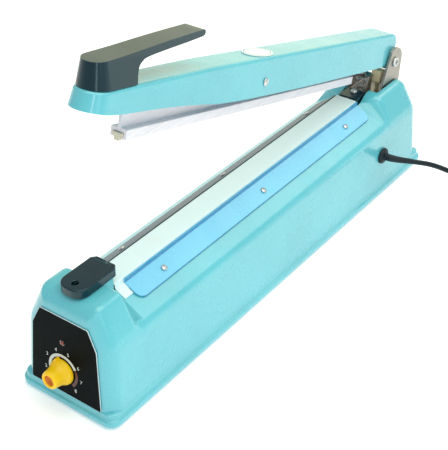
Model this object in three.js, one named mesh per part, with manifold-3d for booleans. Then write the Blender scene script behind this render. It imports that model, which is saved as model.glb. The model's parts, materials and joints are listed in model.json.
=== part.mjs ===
// Hand impulse heat sealer with a 300 mm sealing jaw, as an assembly of separate pieces.
// Millimetres, +Z up.  The casting lies along Y with its control panel facing -Y, and it is
// drawn from the front edge and the underside of its flange.  The last group moves the whole
// machine so that it is centred on the origin and stands on z = 0.
import * as THREE from 'three';
import { mergeVertices } from 'three/addons/utils/BufferGeometryUtils.js';
import Module from 'manifold-3d';

const wasm = await Module();
wasm.setup();

// ---------------------------------------------------------------- driving dimensions

const LENGTH = 430;
const WIDTH = 85;
const GAP = 0.3;                       // running clearance between neighbouring pieces
const FOOT_DROP = 2.5;                 // how far the rubber feet stand below the flange
const KNOB_REACH = 11.6;               // how far the knob stands ahead of the flange
const CENTRE_Y = (LENGTH - KNOB_REACH) / 2;

const FLANGE = { lip: 4, top: 9, corner: 8 };
const FACE = { y: 2.1, lean: 0.074 };              // front wall, leaning back as it rises
const BACK = { y: 427.4, lean: 0.07 };
const WALL_FOOT = 40.45;                           // half width of the casting at z = 0
const END_ROUND = { front: 11.5, rear: 15 };        // vertical corners and end edges
const SKIN = 3;

// Half sections of the casting: [half width, height] of the shoulder and of the top edge, with
// the roundings of both.
const FRONT_BLOCK = { shoulder: [37.3, 57], edge: [24.5, 84.5], knee: 28, soft: 6 };
const MIDDLE = { shoulder: [37.3, 59.3], edge: [10.3, 73.8], knee: 8, soft: 1.5 };
const REAR_BLOCK = { shoulder: [37.3, 57], edge: [24.6, 80], knee: 22, soft: 10 };
const BLEND_FRONT = [34, 46.6];
const BLEND_REAR = [361, 374];
const SLOPE = (MIDDLE.edge[1] - MIDDLE.shoulder[1]) / (MIDDLE.shoulder[0] - MIDDLE.edge[0]);

const JAW = { from: 47, to: 357, half: 9.3, top: 77.3 };
const CLOTH_TOP = 78.5;
const STRIP = { from: 54.5, to: 356.8, out: 25, lift: 0.9, thick: 1, lipTop: 78.3 };
const STRIP_SCREWS = [86.1, 205.65, 325.2];
const STRIP_SCREW_X = 18;

const PIVOT = { y: 408, z: 97.1, pin: 3 };
const OPEN_ANGLE = THREE.MathUtils.degToRad(15.7);
const ARM = { nose: -388, top: 23.3, front: 12.6, rear: 11.7, flare: 0.09, skin: 2, crown: 2.5 };
const DIP = { from: -270, depth: 3.2, low: 8 };     // how the arm's top falls towards its nose
const ROCKER = { s: -204.9, h: 5.8, pin: 2 };
const RAIL = { from: -347.8, to: -52.8 };
const HANDLE_SCREWS = [-376, -358];

const DIAL = { x: -1.7, z: 27.6 };
const LAMP = { x: -1.7, z: 50.7, r: 2.1 };
const SLOT = { half: 18.3, from: 378, to: 418.9, floor: 67 };
const PLUNGER = { x: 6, y: 400, r: 1.8, top: 78 };
const GLAND = { y: 357.3, z: 35.2, r: 4.2 };
const CORD = 4.4;

// ---------------------------------------------------------------- colours

const paint = { color: 0x86d6de, roughness: 0.32, metalness: 0.1 };
const blackPlastic = { color: 0x1d2226, roughness: 0.4, metalness: 0 };
const steel = { color: 0xb7babd, roughness: 0.35, metalness: 0.9 };
const zinc = { color: 0xb9b0ab, roughness: 0.45, metalness: 0.8 };
const blueSteel = { color: 0x66c4e6, roughness: 0.3, metalness: 0.3 };
const aluminium = { color: 0xc6c8cf, roughness: 0.4, metalness: 0.85 };
const cloth = { color: 0xedf3ec, roughness: 0.6, metalness: 0 };
const silicone = { color: 0xd8d4be, roughness: 0.6, metalness: 0 };
const rubber = { color: 0x202326, roughness: 0.8, metalness: 0 };
const yellow = { color: 0xf0c61c, roughness: 0.4, metalness: 0 };
const panelInk = { color: 0x101c20, roughness: 0.35, metalness: 0 };
const lampRed = { color: 0x7a2a22, roughness: 0.25, metalness: 0 };
const badgeWhite = { color: 0xf2f4f2, roughness: 0.35, metalness: 0 };
const beige = { color: 0xd9cba0, roughness: 0.5, metalness: 0 };
const nichrome = { color: 0x9a9288, roughness: 0.4, metalness: 0.8 };
const laminate = { color: 0x6a5236, roughness: 0.7, metalness: 0 };
const ironCore = { color: 0x55585c, roughness: 0.5, metalness: 0.6 };
const copper = { color: 0xa8642c, roughness: 0.4, metalness: 0.6 };
const board = { color: 0x2f6b45, roughness: 0.6, metalness: 0 };
const brass = { color: 0xc6a25a, roughness: 0.35, metalness: 0.9 };

// ---------------------------------------------------------------- shape helpers

const lerp = THREE.MathUtils.lerp;
const smooth = (t) => t * t * (3 - 2 * t);
const vec2 = (points) => points.map(([a, b]) => new THREE.Vector2(a, b));

// Corners [a, b, radius] of a closed outline, with an arc in place of each rounded corner.
function rounded(corners, steps = 4) {
  const points = [];
  corners.forEach(([a, b, radius = 0], i) => {
    const corner = new THREE.Vector2(a, b);
    if (radius <= 0) {
      points.push(corner);
      return;
    }
    const [pa, pb] = corners.at(i - 1);
    const [na, nb] = corners[(i + 1) % corners.length];
    const back = new THREE.Vector2(pa, pb).sub(corner).normalize();
    const ahead = new THREE.Vector2(na, nb).sub(corner).normalize();
    const half = Math.acos(THREE.MathUtils.clamp(back.dot(ahead), -1, 1)) / 2;
    const inward = back.clone().add(ahead).normalize();
    const centre = corner.clone().addScaledVector(inward, radius / Math.sin(half));
    const first = corner.clone().addScaledVector(back, radius / Math.tan(half)).sub(centre);
    const last = corner.clone().addScaledVector(ahead, radius / Math.tan(half)).sub(centre);
    const turn = Math.atan2(first.cross(last), first.dot(last));
    for (let k = 0; k <= steps; k += 1) {
      const spoke = first.clone().rotateAround(new THREE.Vector2(), (turn * k) / steps);
      points.push(spoke.add(centre));
    }
  });
  return points;
}

const rectangle = (a0, a1, b0, b1, r = 0) => (
  rounded([[a0, b0, r], [a1, b0, r], [a1, b1, r], [a0, b1, r]]));

function extrude(outline, depth, holes = []) {
  const shape = new THREE.Shape(outline);
  shape.holes = holes.map((hole) => new THREE.Path(hole));
  return new THREE.ExtrudeGeometry(shape, { depth, bevelEnabled: false, curveSegments: 6 });
}

// Outlines are (x, y) swept along Z, (x, z) along Y, or (y, z) along X.
function alongZ(outline, from, to, holes) {
  return extrude(outline, to - from, holes).translate(0, 0, from);
}

function alongY(outline, from, to, holes) {
  return extrude(outline, to - from, holes).rotateX(Math.PI / 2).translate(0, to, 0);
}

const TO_X = new THREE.Matrix4().makeBasis(
  new THREE.Vector3(0, 1, 0), new THREE.Vector3(0, 0, 1), new THREE.Vector3(1, 0, 0));

function alongX(outline, from, to, holes) {
  return extrude(outline, to - from, holes).applyMatrix4(TO_X).translate(from, 0, 0);
}

function circle(a, b, radius, steps = 16) {
  return Array.from({ length: steps }, (_, k) => {
    const angle = (2 * Math.PI * k) / steps;
    return new THREE.Vector2(a + radius * Math.cos(angle), b + radius * Math.sin(angle));
  });
}

// A turned solid about Z from profile points [radius, z], first and last on the axis.
function turned(profile, steps = 16) {
  const geometry = new THREE.LatheGeometry(vec2(profile), steps).rotateX(Math.PI / 2);
  return volume(geometry) < 0 ? flipped(geometry) : geometry;
}

// Closed skin through rings of the same number of points [x, y, z], with flat ends.
function loft(rings) {
  const count = rings[0].length;
  const points = rings.flat();
  const ends = [rings[0], rings.at(-1)].map((ring) => (
    [0, 1, 2].map((axis) => ring.reduce((sum, p) => sum + p[axis], 0) / count)));
  points.push(...ends);
  const faces = [];
  for (let r = 0; r + 1 < rings.length; r += 1) {
    for (let k = 0; k < count; k += 1) {
      const [a, b] = [r * count + k, r * count + ((k + 1) % count)];
      faces.push(a, b, b + count, a, b + count, a + count);
    }
  }
  const last = (rings.length - 1) * count;
  for (let k = 0; k < count; k += 1) {
    const next = (k + 1) % count;
    faces.push(points.length - 2, next, k, points.length - 1, last + k, last + next);
  }
  const geometry = new THREE.BufferGeometry();
  geometry.setAttribute('position', new THREE.Float32BufferAttribute(points.flat(), 3));
  geometry.setIndex(faces);
  return volume(geometry) < 0 ? flipped(geometry) : geometry;
}

function volume(geometry) {
  const index = geometry.index.array;
  const at = (i) => new THREE.Vector3().fromBufferAttribute(geometry.attributes.position, i);
  let sum = 0;
  for (let i = 0; i < index.length; i += 3) {
    sum += at(index[i]).dot(at(index[i + 1]).cross(at(index[i + 2])));
  }
  return sum / 6;
}

function flipped(geometry) {
  const index = geometry.index.array;
  for (let i = 0; i < index.length; i += 3) {
    [index[i], index[i + 1]] = [index[i + 1], index[i]];
  }
  return geometry;
}

// A round bar along a curve, with its radius given at each share of the length.
function bar(curve, radiusAt, steps, sides = 10) {
  const frames = curve.computeFrenetFrames(steps, false);
  const rings = [];
  for (let i = 0; i <= steps; i += 1) {
    const centre = curve.getPointAt(i / steps);
    rings.push(circle(0, 0, radiusAt(i / steps), sides).map(({ x, y }) => centre.clone()
      .addScaledVector(frames.normals[i], x)
      .addScaledVector(frames.binormals[i], y)
      .toArray()));
  }
  return loft(rings);
}

function rope(points, diameter, steps, sides = 8) {
  const path = new THREE.CatmullRomCurve3(points.map((p) => new THREE.Vector3(...p)));
  return new THREE.ExtrudeGeometry(new THREE.Shape(circle(0, 0, diameter / 2, sides)), {
    steps, extrudePath: path, bevelEnabled: false,
  });
}

// ---------------------------------------------------------------- solids by difference

function solid(geometry) {
  const bare = geometry.clone();
  bare.deleteAttribute('normal');
  bare.deleteAttribute('uv');
  const merged = mergeVertices(bare, 1e-4);
  return new wasm.Manifold(new wasm.Mesh({
    numProp: 3,
    vertProperties: new Float32Array(merged.attributes.position.array),
    triVerts: new Uint32Array(merged.index.array),
  }));
}

function surface(body) {
  const mesh = body.getMesh();
  const geometry = new THREE.BufferGeometry();
  geometry.setAttribute('position', new THREE.BufferAttribute(mesh.vertProperties, 3));
  geometry.setIndex(new THREE.BufferAttribute(mesh.triVerts, 1));
  return geometry;
}

const cut = (geometry, ...tools) => (
  surface(tools.reduce((body, tool) => body.subtract(solid(tool)), solid(geometry))));
const join = (geometry, ...more) => (
  surface(more.reduce((body, extra) => body.add(solid(extra)), solid(geometry))));
const common = (geometry, other) => surface(solid(geometry).intersect(solid(other)));

// ---------------------------------------------------------------- scene helpers

function part(name, geometry, look) {
  geometry.computeVertexNormals();
  const mesh = new THREE.Mesh(geometry, new THREE.MeshStandardMaterial(look));
  mesh.name = name;
  return mesh;
}

function group(...children) {
  const holder = new THREE.Group();
  holder.add(...children);
  return holder;
}

// A pan-head screw standing on z = 0, its shank pointing down.
function screw(name, head, height, shank, length, look = steel) {
  const profile = [[0, -length], [shank, -length], [shank, 0], [head, 0],
    [head, height * 0.45], [head * 0.72, height * 0.9], [0, height]];
  return part(name, turned(profile, 14), look);
}

// ---------------------------------------------------------------- base casting

// One half section: wall, shoulder and top edge pulled inward, then mirrored to a full ring.
function section({ shoulder, edge, knee: round, soft }, inset, foot = 0) {
  const wall = new THREE.Vector2(shoulder[0] - WALL_FOOT, shoulder[1]).normalize();
  const chamfer = new THREE.Vector2(edge[0] - shoulder[0], edge[1] - shoulder[1]).normalize();
  const wallAt = (z) => WALL_FOOT - inset / wall.y + (z * wall.x) / wall.y;
  const chamferShift = [shoulder[0] - inset * chamfer.y, shoulder[1] + inset * chamfer.x];
  const chamferAt = (z) => chamferShift[0] + ((z - chamferShift[1]) * chamfer.x) / chamfer.y;
  const top = edge[1] - inset;
  const lean = wall.x / wall.y;
  const fall = chamfer.x / chamfer.y;
  const knee = (WALL_FOOT - inset / wall.y - chamferShift[0] + chamferShift[1] * fall)
    / (fall - lean);
  const half = [[wallAt(foot), foot, 0], [wallAt(knee), knee, Math.max(round - inset, 2)],
    [chamferAt(top), top, Math.max(soft - inset, 1)]];
  const mirrored = half.map(([x, z, r]) => [-x, z, r]).reverse();
  return rounded([...half, ...mirrored], 5);
}

function blended(y) {
  const [a0, a1] = BLEND_FRONT;
  const [b0, b1] = BLEND_REAR;
  const front = smooth(THREE.MathUtils.clamp((y - a0) / (a1 - a0), 0, 1));
  const rear = smooth(THREE.MathUtils.clamp((y - b0) / (b1 - b0), 0, 1));
  const [from, to, t] = rear > 0 ? [MIDDLE, REAR_BLOCK, rear] : [FRONT_BLOCK, MIDDLE, front];
  return {
    shoulder: from.shoulder.map((v, i) => lerp(v, to.shoulder[i], t)),
    edge: from.edge.map((v, i) => lerp(v, to.edge[i], t)),
    knee: lerp(from.knee, to.knee, t),
    soft: lerp(from.soft, to.soft, t),
  };
}

const spread = (from, to, count) => (
  Array.from({ length: count + 1 }, (_, k) => lerp(from, to, k / count)));

function castingOutside() {
  const turns = spread(0, Math.PI / 2, 5);
  const end = (block, round, wall, inward) => turns.map((a) => (
    section(block, round * (1 - Math.sin(a)))
      .map(({ x, y: z }) => [x, wall.y + inward * (wall.lean * z + round * (1 - Math.cos(a))), z])));
  const stations = [...spread(BLEND_FRONT[0], BLEND_FRONT[1], 6), ...spread(...BLEND_REAR, 4)];
  const middle = stations.map((y) => section(blended(y), 0).map(({ x, y: z }) => [x, y, z]));
  return loft([...end(FRONT_BLOCK, END_ROUND.front, FACE, 1), ...middle,
    ...end(REAR_BLOCK, END_ROUND.rear, BACK, -1).reverse()]);
}

function castingFlange() {
  const ring = (z, inset) => {
    const [x, y0, y1] = [WIDTH / 2 - inset, inset, LENGTH - inset];
    return rectangle(-x, x, y0, y1, FLANGE.corner - inset).map((p) => [p.x, p.y, z]);
  };
  const steps = [[0, 0], [FLANGE.lip, 0], [4.4, 0.5], [5.4, 1.3], [6.8, 1.9], [8.2, 2.3]];
  return loft([...steps.map(([z, inset]) => ring(z, inset)), ring(FLANGE.top, SKIN + 1)]);
}

function castingHollow() {
  const place = (y, inset, lean = 0) => section(blended(y), inset, -1)
    .map(({ x, y: z }) => [x, y + lean * z, z]);
  const main = loft([place(FACE.y + 3.2, 7.5, FACE.lean), place(FACE.y + 4.5, 5.6, FACE.lean),
    place(FACE.y + 9, SKIN + 0.4, FACE.lean), place(FACE.y + 13, SKIN, FACE.lean),
    place(33, SKIN + 0.3), place(40, SKIN + 0.8), place(46.6, SKIN + 0.4), place(50, SKIN),
    place(354, SKIN)]);
  const tail = common(alongY(rounded([[-37.2, -1], [37.2, -1], [34, 55, 6], [22, 62, 6],
    [-22, 62, 6], [-34, 55, 6]]), 353, 420), alongZ(rectangle(-37.2, 37.2, 300, 420, 15), -2, 64));
  return [main, tail];
}

function baseShell() {
  const slot = alongZ(rectangle(-SLOT.half, SLOT.half, SLOT.from, SLOT.to, 2), SLOT.floor, 90);
  const channel = alongZ(rectangle(-10.4, 10.4, 357.3, 380), 69, 90);
  const gland = alongX(circle(GLAND.y, GLAND.z, GLAND.r), 30, 45);
  const plunger = alongZ(circle(PLUNGER.x, PLUNGER.y, PLUNGER.r + 0.4, 12), 60, 70);
  const bracketHoles = [-9.5, 9.5].map((x) => alongZ(circle(x, 412, 1.9, 10), 60, 70));
  const coverHole = alongZ(circle(0, 19.9, 1.5, 10), 70, 90);
  const stripHoles = STRIP_SCREWS.flatMap((y) => [-1, 1].map((side) => stripHole(side, y)));
  const frontHoles = [[DIAL.x, DIAL.z, 3.5], [LAMP.x, LAMP.z, LAMP.r]].map(([x, z, r]) => (
    alongY(circle(x, z, r), -2, 12).translate(0, FACE.lean * z, 0)));
  const boss = alongZ(rectangle(-10, 10, 30, 45.7, 1.5), 70, FRONT_BLOCK.edge[1] - 0.2);
  return cut(join(castingOutside(), castingFlange(), boss), ...castingHollow(), slot, channel, gland,
    plunger, coverHole, ...bracketHoles, ...stripHoles, ...frontHoles);
}

// ---------------------------------------------------------------- underside

const FOOT_PLACES = [[-28, 30], [28, 30], [-28, 400], [28, 400]];

function basePlate() {
  const holes = FOOT_PLACES.map(([x, y]) => circle(x, y, 1.8, 10));
  return part('base_plate', alongZ(rectangle(-36.4, 36.4, 9.6, 419.6, 15), 0.6, 2.1, holes), zinc);
}

function feet() {
  const profile = [[1.8, -FOOT_DROP], [7.2, -FOOT_DROP], [8, -FOOT_DROP + 1], [8, 0.3],
    [1.8, 0.3], [1.8, -FOOT_DROP]];
  return FOOT_PLACES.flatMap(([x, y], i) => {
    const foot = part(`foot_${i + 1}`, turned(profile), rubber);
    foot.position.set(x, y, 0);
    const rivet = part(`foot_rivet_${i + 1}`, turned([[0, -1.6], [1.4, -1.6], [1.4, 2.4],
      [3.4, 2.4], [3.4, 3.2], [0, 4]], 12), steel);
    rivet.position.set(x, y, 0);
    return [foot, rivet];
  });
}

// ---------------------------------------------------------------- control panel, on the face

function controls() {
  const outline = rounded([[-31.1, 8.9, 1.5], [31.1, 8.9, 1.5], [28, 56.5, 1.5],
    [20.8, 71, 1.5], [-20.8, 71, 1.5], [-28, 56.5, 1.5]], 3);
  const holes = [circle(DIAL.x, DIAL.z, 3.5), circle(LAMP.x, LAMP.z, LAMP.r - 0.2)];
  const plate = part('control_panel', alongY(outline, -1.1, -GAP, holes), panelInk);

  const lens = [[0, 4], [1.6, 4], [1.6, -1.5], [1.1, -1.9], [0, -2.1]];
  const lamp = part('indicator_lamp', turned(lens, 14).rotateX(-Math.PI / 2), lampRed);
  lamp.position.set(LAMP.x, 0, LAMP.z);

  const knob = part('timer_knob', timerKnob(), yellow);
  knob.position.set(DIAL.x, 0, DIAL.z);
  const shaft = part('timer_shaft', alongY(circle(0, 0, 2.9), -10, 3.3), steel);
  shaft.position.copy(knob.position);

  const pot = alongY(circle(DIAL.x, DIAL.z, 8, 20), 3.6, 8.2);
  const card = alongY(rectangle(-22, 22, 14, 48, 1), 8, 9.6);
  const timer = part('timer_board', join(card, pot), board);

  const set = group(plate, lamp, knob, shaft, timer);
  set.position.y = FACE.y;
  set.rotation.x = -Math.atan(FACE.lean);
  return set;
}

// A tapering grip on a skirt with a pointer, bored for the shaft.
function timerKnob() {
  const skirt = turned([[0, 1.4], [9.6, 1.4], [9.7, 3], [8.9, 4.8], [7.7, 7], [7, 10],
    [6.6, 14.4], [5.8, 15.4], [0, 15.4]], 28);
  const fin = alongZ(rounded([[-1.5, 0], [1.5, 0], [1, 11.2, 0.6], [-1, 11.2, 0.6]], 2), 1.6, 5.2);
  const bore = turned([[0, 0], [3.2, 0], [3.2, 11], [0, 11]], 16);
  return cut(join(skirt, fin), bore).rotateZ(THREE.MathUtils.degToRad(19)).rotateX(Math.PI / 2);
}

// ---------------------------------------------------------------- electrics inside the casting

function electrics() {
  const window = rectangle(-13, 13, 12, 30);
  const core = cut(alongY(rectangle(-25, 25, 3, 45, 1), 128, 164),
    alongY(window, 120, 170));
  const limb = alongY(rectangle(-7, 7, 4, 40), 128, 164);
  const winding = cut(alongZ(rectangle(-12.4, 12.4, 118, 174, 5), 13, 29),
    alongY(rectangle(-7.4, 7.4, 0, 60), 127.5, 164.5));
  return [
    part('transformer_core', join(core, limb), ironCore),
    part('transformer_winding', winding, copper),
    part('micro_switch', alongX(rectangle(390, 410, 46, 59.9, 1), 1, 11), blackPlastic),
  ];
}

// ---------------------------------------------------------------- sealing jaw on the ridge

const slopeTop = (x) => MIDDLE.edge[1] - SLOPE * (x - MIDDLE.edge[0]);

// A hole square to the slope for the screw of a clamp strip, on one side of the ridge.
function stripHole(side, y) {
  return alongZ(circle(0, 0, 1.2, 10), -8, 8).rotateY(side * Math.atan(SLOPE))
    .translate(side * STRIP_SCREW_X, y, slopeTop(STRIP_SCREW_X));
}

function jaw() {
  const { from, to, half, top } = JAW;
  const bed = alongY(rectangle(-half, half, MIDDLE.edge[1] + GAP, top, 0.5), from, to);
  const wire = alongY(rectangle(-1.5, 1.5, top + 0.25, top + 0.55), from + 2, to + 2);
  return [part('platform', bed, laminate), part('heating_element', wire, nichrome),
    part('ptfe_cloth', clothCover(), cloth)];
}

// A thin bent sheet over the ridge that runs out under the clamp strips.
function clothCover() {
  const thick = 0.35;
  const half = (reach, shift) => {
    const lie = GAP + shift;
    return [[0, CLOTH_TOP - thick + shift], [9.6 + shift, CLOTH_TOP - thick + shift],
      [9.6 + shift, slopeTop(9.6 + shift) + lie + 0.25], [reach, slopeTop(reach) + lie + 0.1]];
  };
  const sheet = (reach, from, to) => {
    const outer = half(reach, thick);
    const inner = half(reach, 0).reverse();
    const right = [...outer, ...inner];
    const left = right.map(([x, z]) => [-x, z]).reverse();
    return join(alongY(vec2(right), from, to), alongY(vec2(left), from, to));
  };
  return join(sheet(14.5, 50, 357), sheet(18.3, 46, 54.2));
}

function clampStrips() {
  const { from, to, out, lift, thick, lipTop } = STRIP;
  const lip = 10.3;
  const strip = [[lip, lipTop], [lip, slopeTop(lip) + lift], [out, slopeTop(out) + lift],
    [out, slopeTop(out) + lift + thick], [lip + 1, slopeTop(lip + 1) + lift + thick],
    [lip + 1, lipTop]];
  const plan = rounded([[lip - 1, from], [out, from, 6], [out, to, 6], [lip - 1, to]]);
  const holes = STRIP_SCREWS.map((y) => stripHole(1, y));
  const leaf = cut(common(alongY(vec2(strip), from, to), alongZ(plan, 60, 90)), ...holes);
  const near = part('clamp_strip_near', leaf, blueSteel);
  const far = part('clamp_strip_far', leaf.clone().rotateZ(Math.PI).translate(0, from + to, 0),
    steel);
  const tilt = Math.atan(SLOPE);
  const seat = lift * Math.cos(tilt) + thick * Math.cos(tilt) + GAP;
  const screws = STRIP_SCREWS.flatMap((y, i) => [[1, 'near'], [-1, 'far']].map(([side, tag]) => {
    const pan = screw(`strip_screw_${tag}_${i + 1}`, 2.7, 1.6, 0.9, 4);
    pan.position.set(side * (STRIP_SCREW_X + seat * Math.sin(tilt)), y,
      slopeTop(STRIP_SCREW_X) + seat * Math.cos(tilt));
    pan.rotation.y = side * tilt;
    return pan;
  }));
  return [near, far, ...screws];
}

function terminals() {
  const plan = (inset) => rounded([
    [-10.9 + inset, 12.4 + inset, 9], [10.9 - inset, 12.4 + inset, 9],
    [10.9 - inset, 46.4, 1.5], [7.9 - inset, 50 - inset, 1],
    [-7.9 + inset, 50 - inset, 1], [-10.9 + inset, 46.4, 1.5]], 5);
  const roof = FRONT_BLOCK.edge[1];
  const shell = alongZ(plan(0), roof + GAP, roof + 7.2);
  const cover = cut(shell, alongZ(plan(1.6), roof - 1, roof + 5.4),
    alongZ(circle(0, 19.9, 2.4, 14), roof, roof + 9));
  const coverScrew = screw('terminal_cover_screw', 3.2, 1.6, 1.1, 5.4);
  coverScrew.position.set(0, 19.9, roof + 1);
  const front = part('front_terminal', alongZ(rectangle(-6, 6, 27, 40, 1), roof + GAP, roof + 4.4),
    brass);
  const rear = part('rear_terminal', alongZ(rectangle(-9, 9, 359.5, 376, 1.5), 69.3, 78.6),
    blackPlastic);
  const rearScrew = part('rear_terminal_screw',
    turned([[0, 0], [3, 0], [3, 1.1], [2.2, 2], [0, 2]], 14), steel);
  rearScrew.position.set(0, 370, 78.9);
  return [part('terminal_cover', cover, blackPlastic), coverScrew, front, rear, rearScrew];
}

// ---------------------------------------------------------------- hinge

function hinge() {
  const { y, z, pin } = PIVOT;
  const reach = 12.6;
  const web = [SLOT.floor + GAP, SLOT.floor + GAP + 2];
  const cheekOutline = [[382.2, web[0]], [417.6, web[0]], [420.2, z - 1]];
  for (const angle of spread(-5, 118, 8)) {
    const a = THREE.MathUtils.degToRad(angle);
    cheekOutline.push([y + reach * Math.cos(a), z + reach * Math.sin(a)]);
  }
  cheekOutline.push([387.4, 78.8]);
  const hole = circle(y, z, pin + GAP, 16);
  const cheeks = [[-17, -15], [15, 17]].map(([a, b]) => (
    alongX(vec2(cheekOutline), a, b, [hole])));
  const holes = [[PLUNGER.x, PLUNGER.y, 2.4], [-9.5, 412, 1.9], [9.5, 412, 1.9]]
    .map(([a, b, r]) => circle(a, b, r, 12));
  const floor = alongZ(rectangle(-16.5, 16.5, 382.6, 417.4), ...web, holes);
  const bracket = part('hinge_bracket', join(floor, ...cheeks), zinc);

  const bracketScrews = [['left', -9.5], ['right', 9.5]].map(([side, x]) => {
    const bolt = screw(`bracket_screw_${side}`, 3.4, 2, 1.5, 6);
    bolt.position.set(x, 412, web[1] + GAP);
    return bolt;
  });

  const pinProfile = [[0, -18.9], [2.9, -18.9], [2.9, 17.3], [4.8, 17.3], [4.8, 18.6],
    [3.6, 19.4], [0, 19.4]];
  const hingePin = part('hinge_pin', turned(pinProfile, 18).rotateY(Math.PI / 2), steel);
  hingePin.position.set(0, y, z);
  const clip = part('hinge_clip',
    alongX(circle(y, z, 5.2, 18), -18.2, -17.3, [circle(y, z, 3.2, 18)]), zinc);

  const tab = vec2([[382.2, web[1] + GAP], [392.6, web[1] + GAP], [392.6, 78], [395.1, 86.6],
    [388.4, 86.6]]);
  const stop = part('arm_stop', alongX(tab, 2, 4), zinc);
  return [bracket, ...bracketScrews, hingePin, clip, stop, returnSpring(web[1] + GAP)];
}

function returnSpring(floor) {
  const [radius, wire, turns, top] = [4.2, 1, 6, 95];
  const low = floor + wire / 2;
  const rise = top - wire / 2 - low;
  const points = spread(0, 1, turns * 10).map((t) => {
    const angle = 2 * Math.PI * turns * t;
    const lift = THREE.MathUtils.clamp((t * turns - 0.75) / (turns - 1.5), 0, 1) * rise;
    return [radius * Math.cos(angle) - 7, radius * Math.sin(angle) + 393.5, low + lift];
  });
  return part('return_spring', rope(points, wire, turns * 12, 6), steel);
}

function switchPlunger() {
  const profile = [[0, 61.6], [PLUNGER.r, 61.6], [PLUNGER.r, PLUNGER.top - 0.6],
    [PLUNGER.r * 0.6, PLUNGER.top - 0.1], [0, PLUNGER.top]];
  const button = part('switch_plunger', turned(profile, 12), beige);
  button.position.set(PLUNGER.x, PLUNGER.y, 0);
  return button;
}

// ---------------------------------------------------------------- arm
// The arm is drawn closed, from its pivot: s runs along +Y and h up, and its group opens it.

const noseArc = (centre, half, steps = 10) => spread(Math.PI, 2 * Math.PI, steps)
  .map((a) => new THREE.Vector2(half * Math.cos(a), centre + half * Math.sin(a)));

// How far the arm's top lies below its full height at one place along it.
const armDip = (s) => DIP.depth * Math.max(0, (DIP.from - s) / (DIP.from - ARM.nose));

// Plan of the channel at height h, pulled in all round, its top falling towards the nose.
function armPlan(h, inset, end, fall) {
  const drop = ARM.flare * (ARM.top - h);
  const front = ARM.front + drop - inset;
  const rear = ARM.rear + drop - inset;
  const centre = ARM.nose + ARM.front - drop;
  const share = fall * Math.max(0, (h - DIP.low) / (ARM.top - DIP.low));
  return [...noseArc(centre, front), ...vec2([[rear, end], [-rear, end]])].map(({ x, y }) => (
    [x, y, h - (share * (DIP.from - y)) / (DIP.from - ARM.nose)]));
}

// A level block and one that falls along its whole length share their lower part, and what they
// have in common is the arm's folded top.
function folded(rings, inset, end) {
  const [level, falling] = [0, DIP.depth].map((fall) => (
    loft(rings.map(([h, extra]) => armPlan(h, inset + extra, end, fall)))));
  return common(level, falling);
}

function armSide() {
  const shape = new THREE.Shape();
  shape.moveTo(-400, ARM.top);
  for (const [s, h] of [[-400, 8.4], [-385.7, 7.7], [-367, 5.5], [-326.7, 3.6], [-293, 1.2],
    [-245.6, -3.2], [-150, -4.6], [-72, -4.4], [-28, -4.1], [-12, -3.6], [-5.5, -5.8]]) {
    shape.lineTo(s, h);
  }
  shape.absarc(0, 0, 8, THREE.MathUtils.degToRad(-133), THREE.MathUtils.degToRad(10), false);
  shape.lineTo(3.9, 11);
  shape.quadraticCurveTo(3.6, 23.3, -4.5, ARM.top);
  return shape.getPoints(6);
}

function armShell() {
  const round = 2.2;
  const crown = spread(0, 1, 3).map((t) => {
    const a = (t * Math.PI) / 2;
    return [ARM.top - round * (1 - Math.sin(a)), round * (1 - Math.cos(a))];
  });
  const outer = folded([[-8.2, 0], [DIP.low, 0], ...crown], 0, 12);
  const body = common(outer, alongX(armSide(), -20, 20));
  const hollow = folded([[-9, 0], [DIP.low, 0], [ARM.top - ARM.crown, 0]], ARM.skin, -19);
  const rocker = alongX(circle(ROCKER.s, ROCKER.h, ROCKER.pin + GAP, 14), -20, 20);
  const pivot = alongX(circle(0, 0, PIVOT.pin + GAP, 16), -20, 20);
  const handleHoles = HANDLE_SCREWS.map((s) => alongZ(circle(0, s, 2, 10), 14, 26));
  const pockets = [[13.4, 20], [-20, -13.4]].map(([a, b]) => (
    alongX(rectangle(-16.5, 30, -12, 13.5, 3), a, b)));
  return part('arm_shell', cut(body, hollow, rocker, pivot, ...handleHoles, ...pockets), paint);
}

function armHandle() {
  const low = ARM.top + GAP;
  const floor = [-400, ARM.nose, -350].map((s) => [s, low - armDip(s)]);
  const side = vec2([...floor, [-349.7, 27], [-348.8, 31.2], [-347, 33.6],
    [-344.6, 35.2], [-340.2, 36.8], [-321.2, 39.5], [-301.2, 42], [-283.4, 44.5],
    [-281.3, 45.4], [-280.8, 47], [-281.8, 49.1], [-311.3, 46], [-330.9, 43.7], [-345.8, 41.8],
    [-358.6, 40.2], [-376, 38.3], [-384, 37.3], [-400, 35.2]]);
  const ring = (h, half, nose) => [...noseArc(nose + half, half),
    ...vec2([[0.87 * half, -279], [-0.87 * half, -279]])].map(({ x, y }) => [x, y, h]);
  const block = loft([ring(low - 5, 12.7, -387), ring(38, 9.4, -386.6), ring(52, 8.8, -386.4)]);
  const bores = HANDLE_SCREWS.map((s) => alongZ(circle(0, s, 1.9, 10), 16, 34));
  return part('arm_handle', cut(common(block, alongX(side, -15, 15)), ...bores), blackPlastic);
}

function handleScrews() {
  return HANDLE_SCREWS.map((s, i) => {
    const bolt = screw(`handle_screw_${i + 1}`, 3.4, 2, 1.5, 11);
    bolt.rotation.x = Math.PI;
    bolt.position.set(0, s, ARM.top - ARM.crown - GAP - armDip(s));
    return bolt;
  });
}

function badge() {
  const oval = circle(0, 0, 1, 28).map(({ x, y }) => new THREE.Vector2(10 * x, 14.5 * y));
  const plate = part('oval_badge', alongZ(oval, 0, 0.6), badgeWhite);
  plate.position.set(0, -200.7, ARM.top + 0.2);
  return plate;
}

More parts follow.
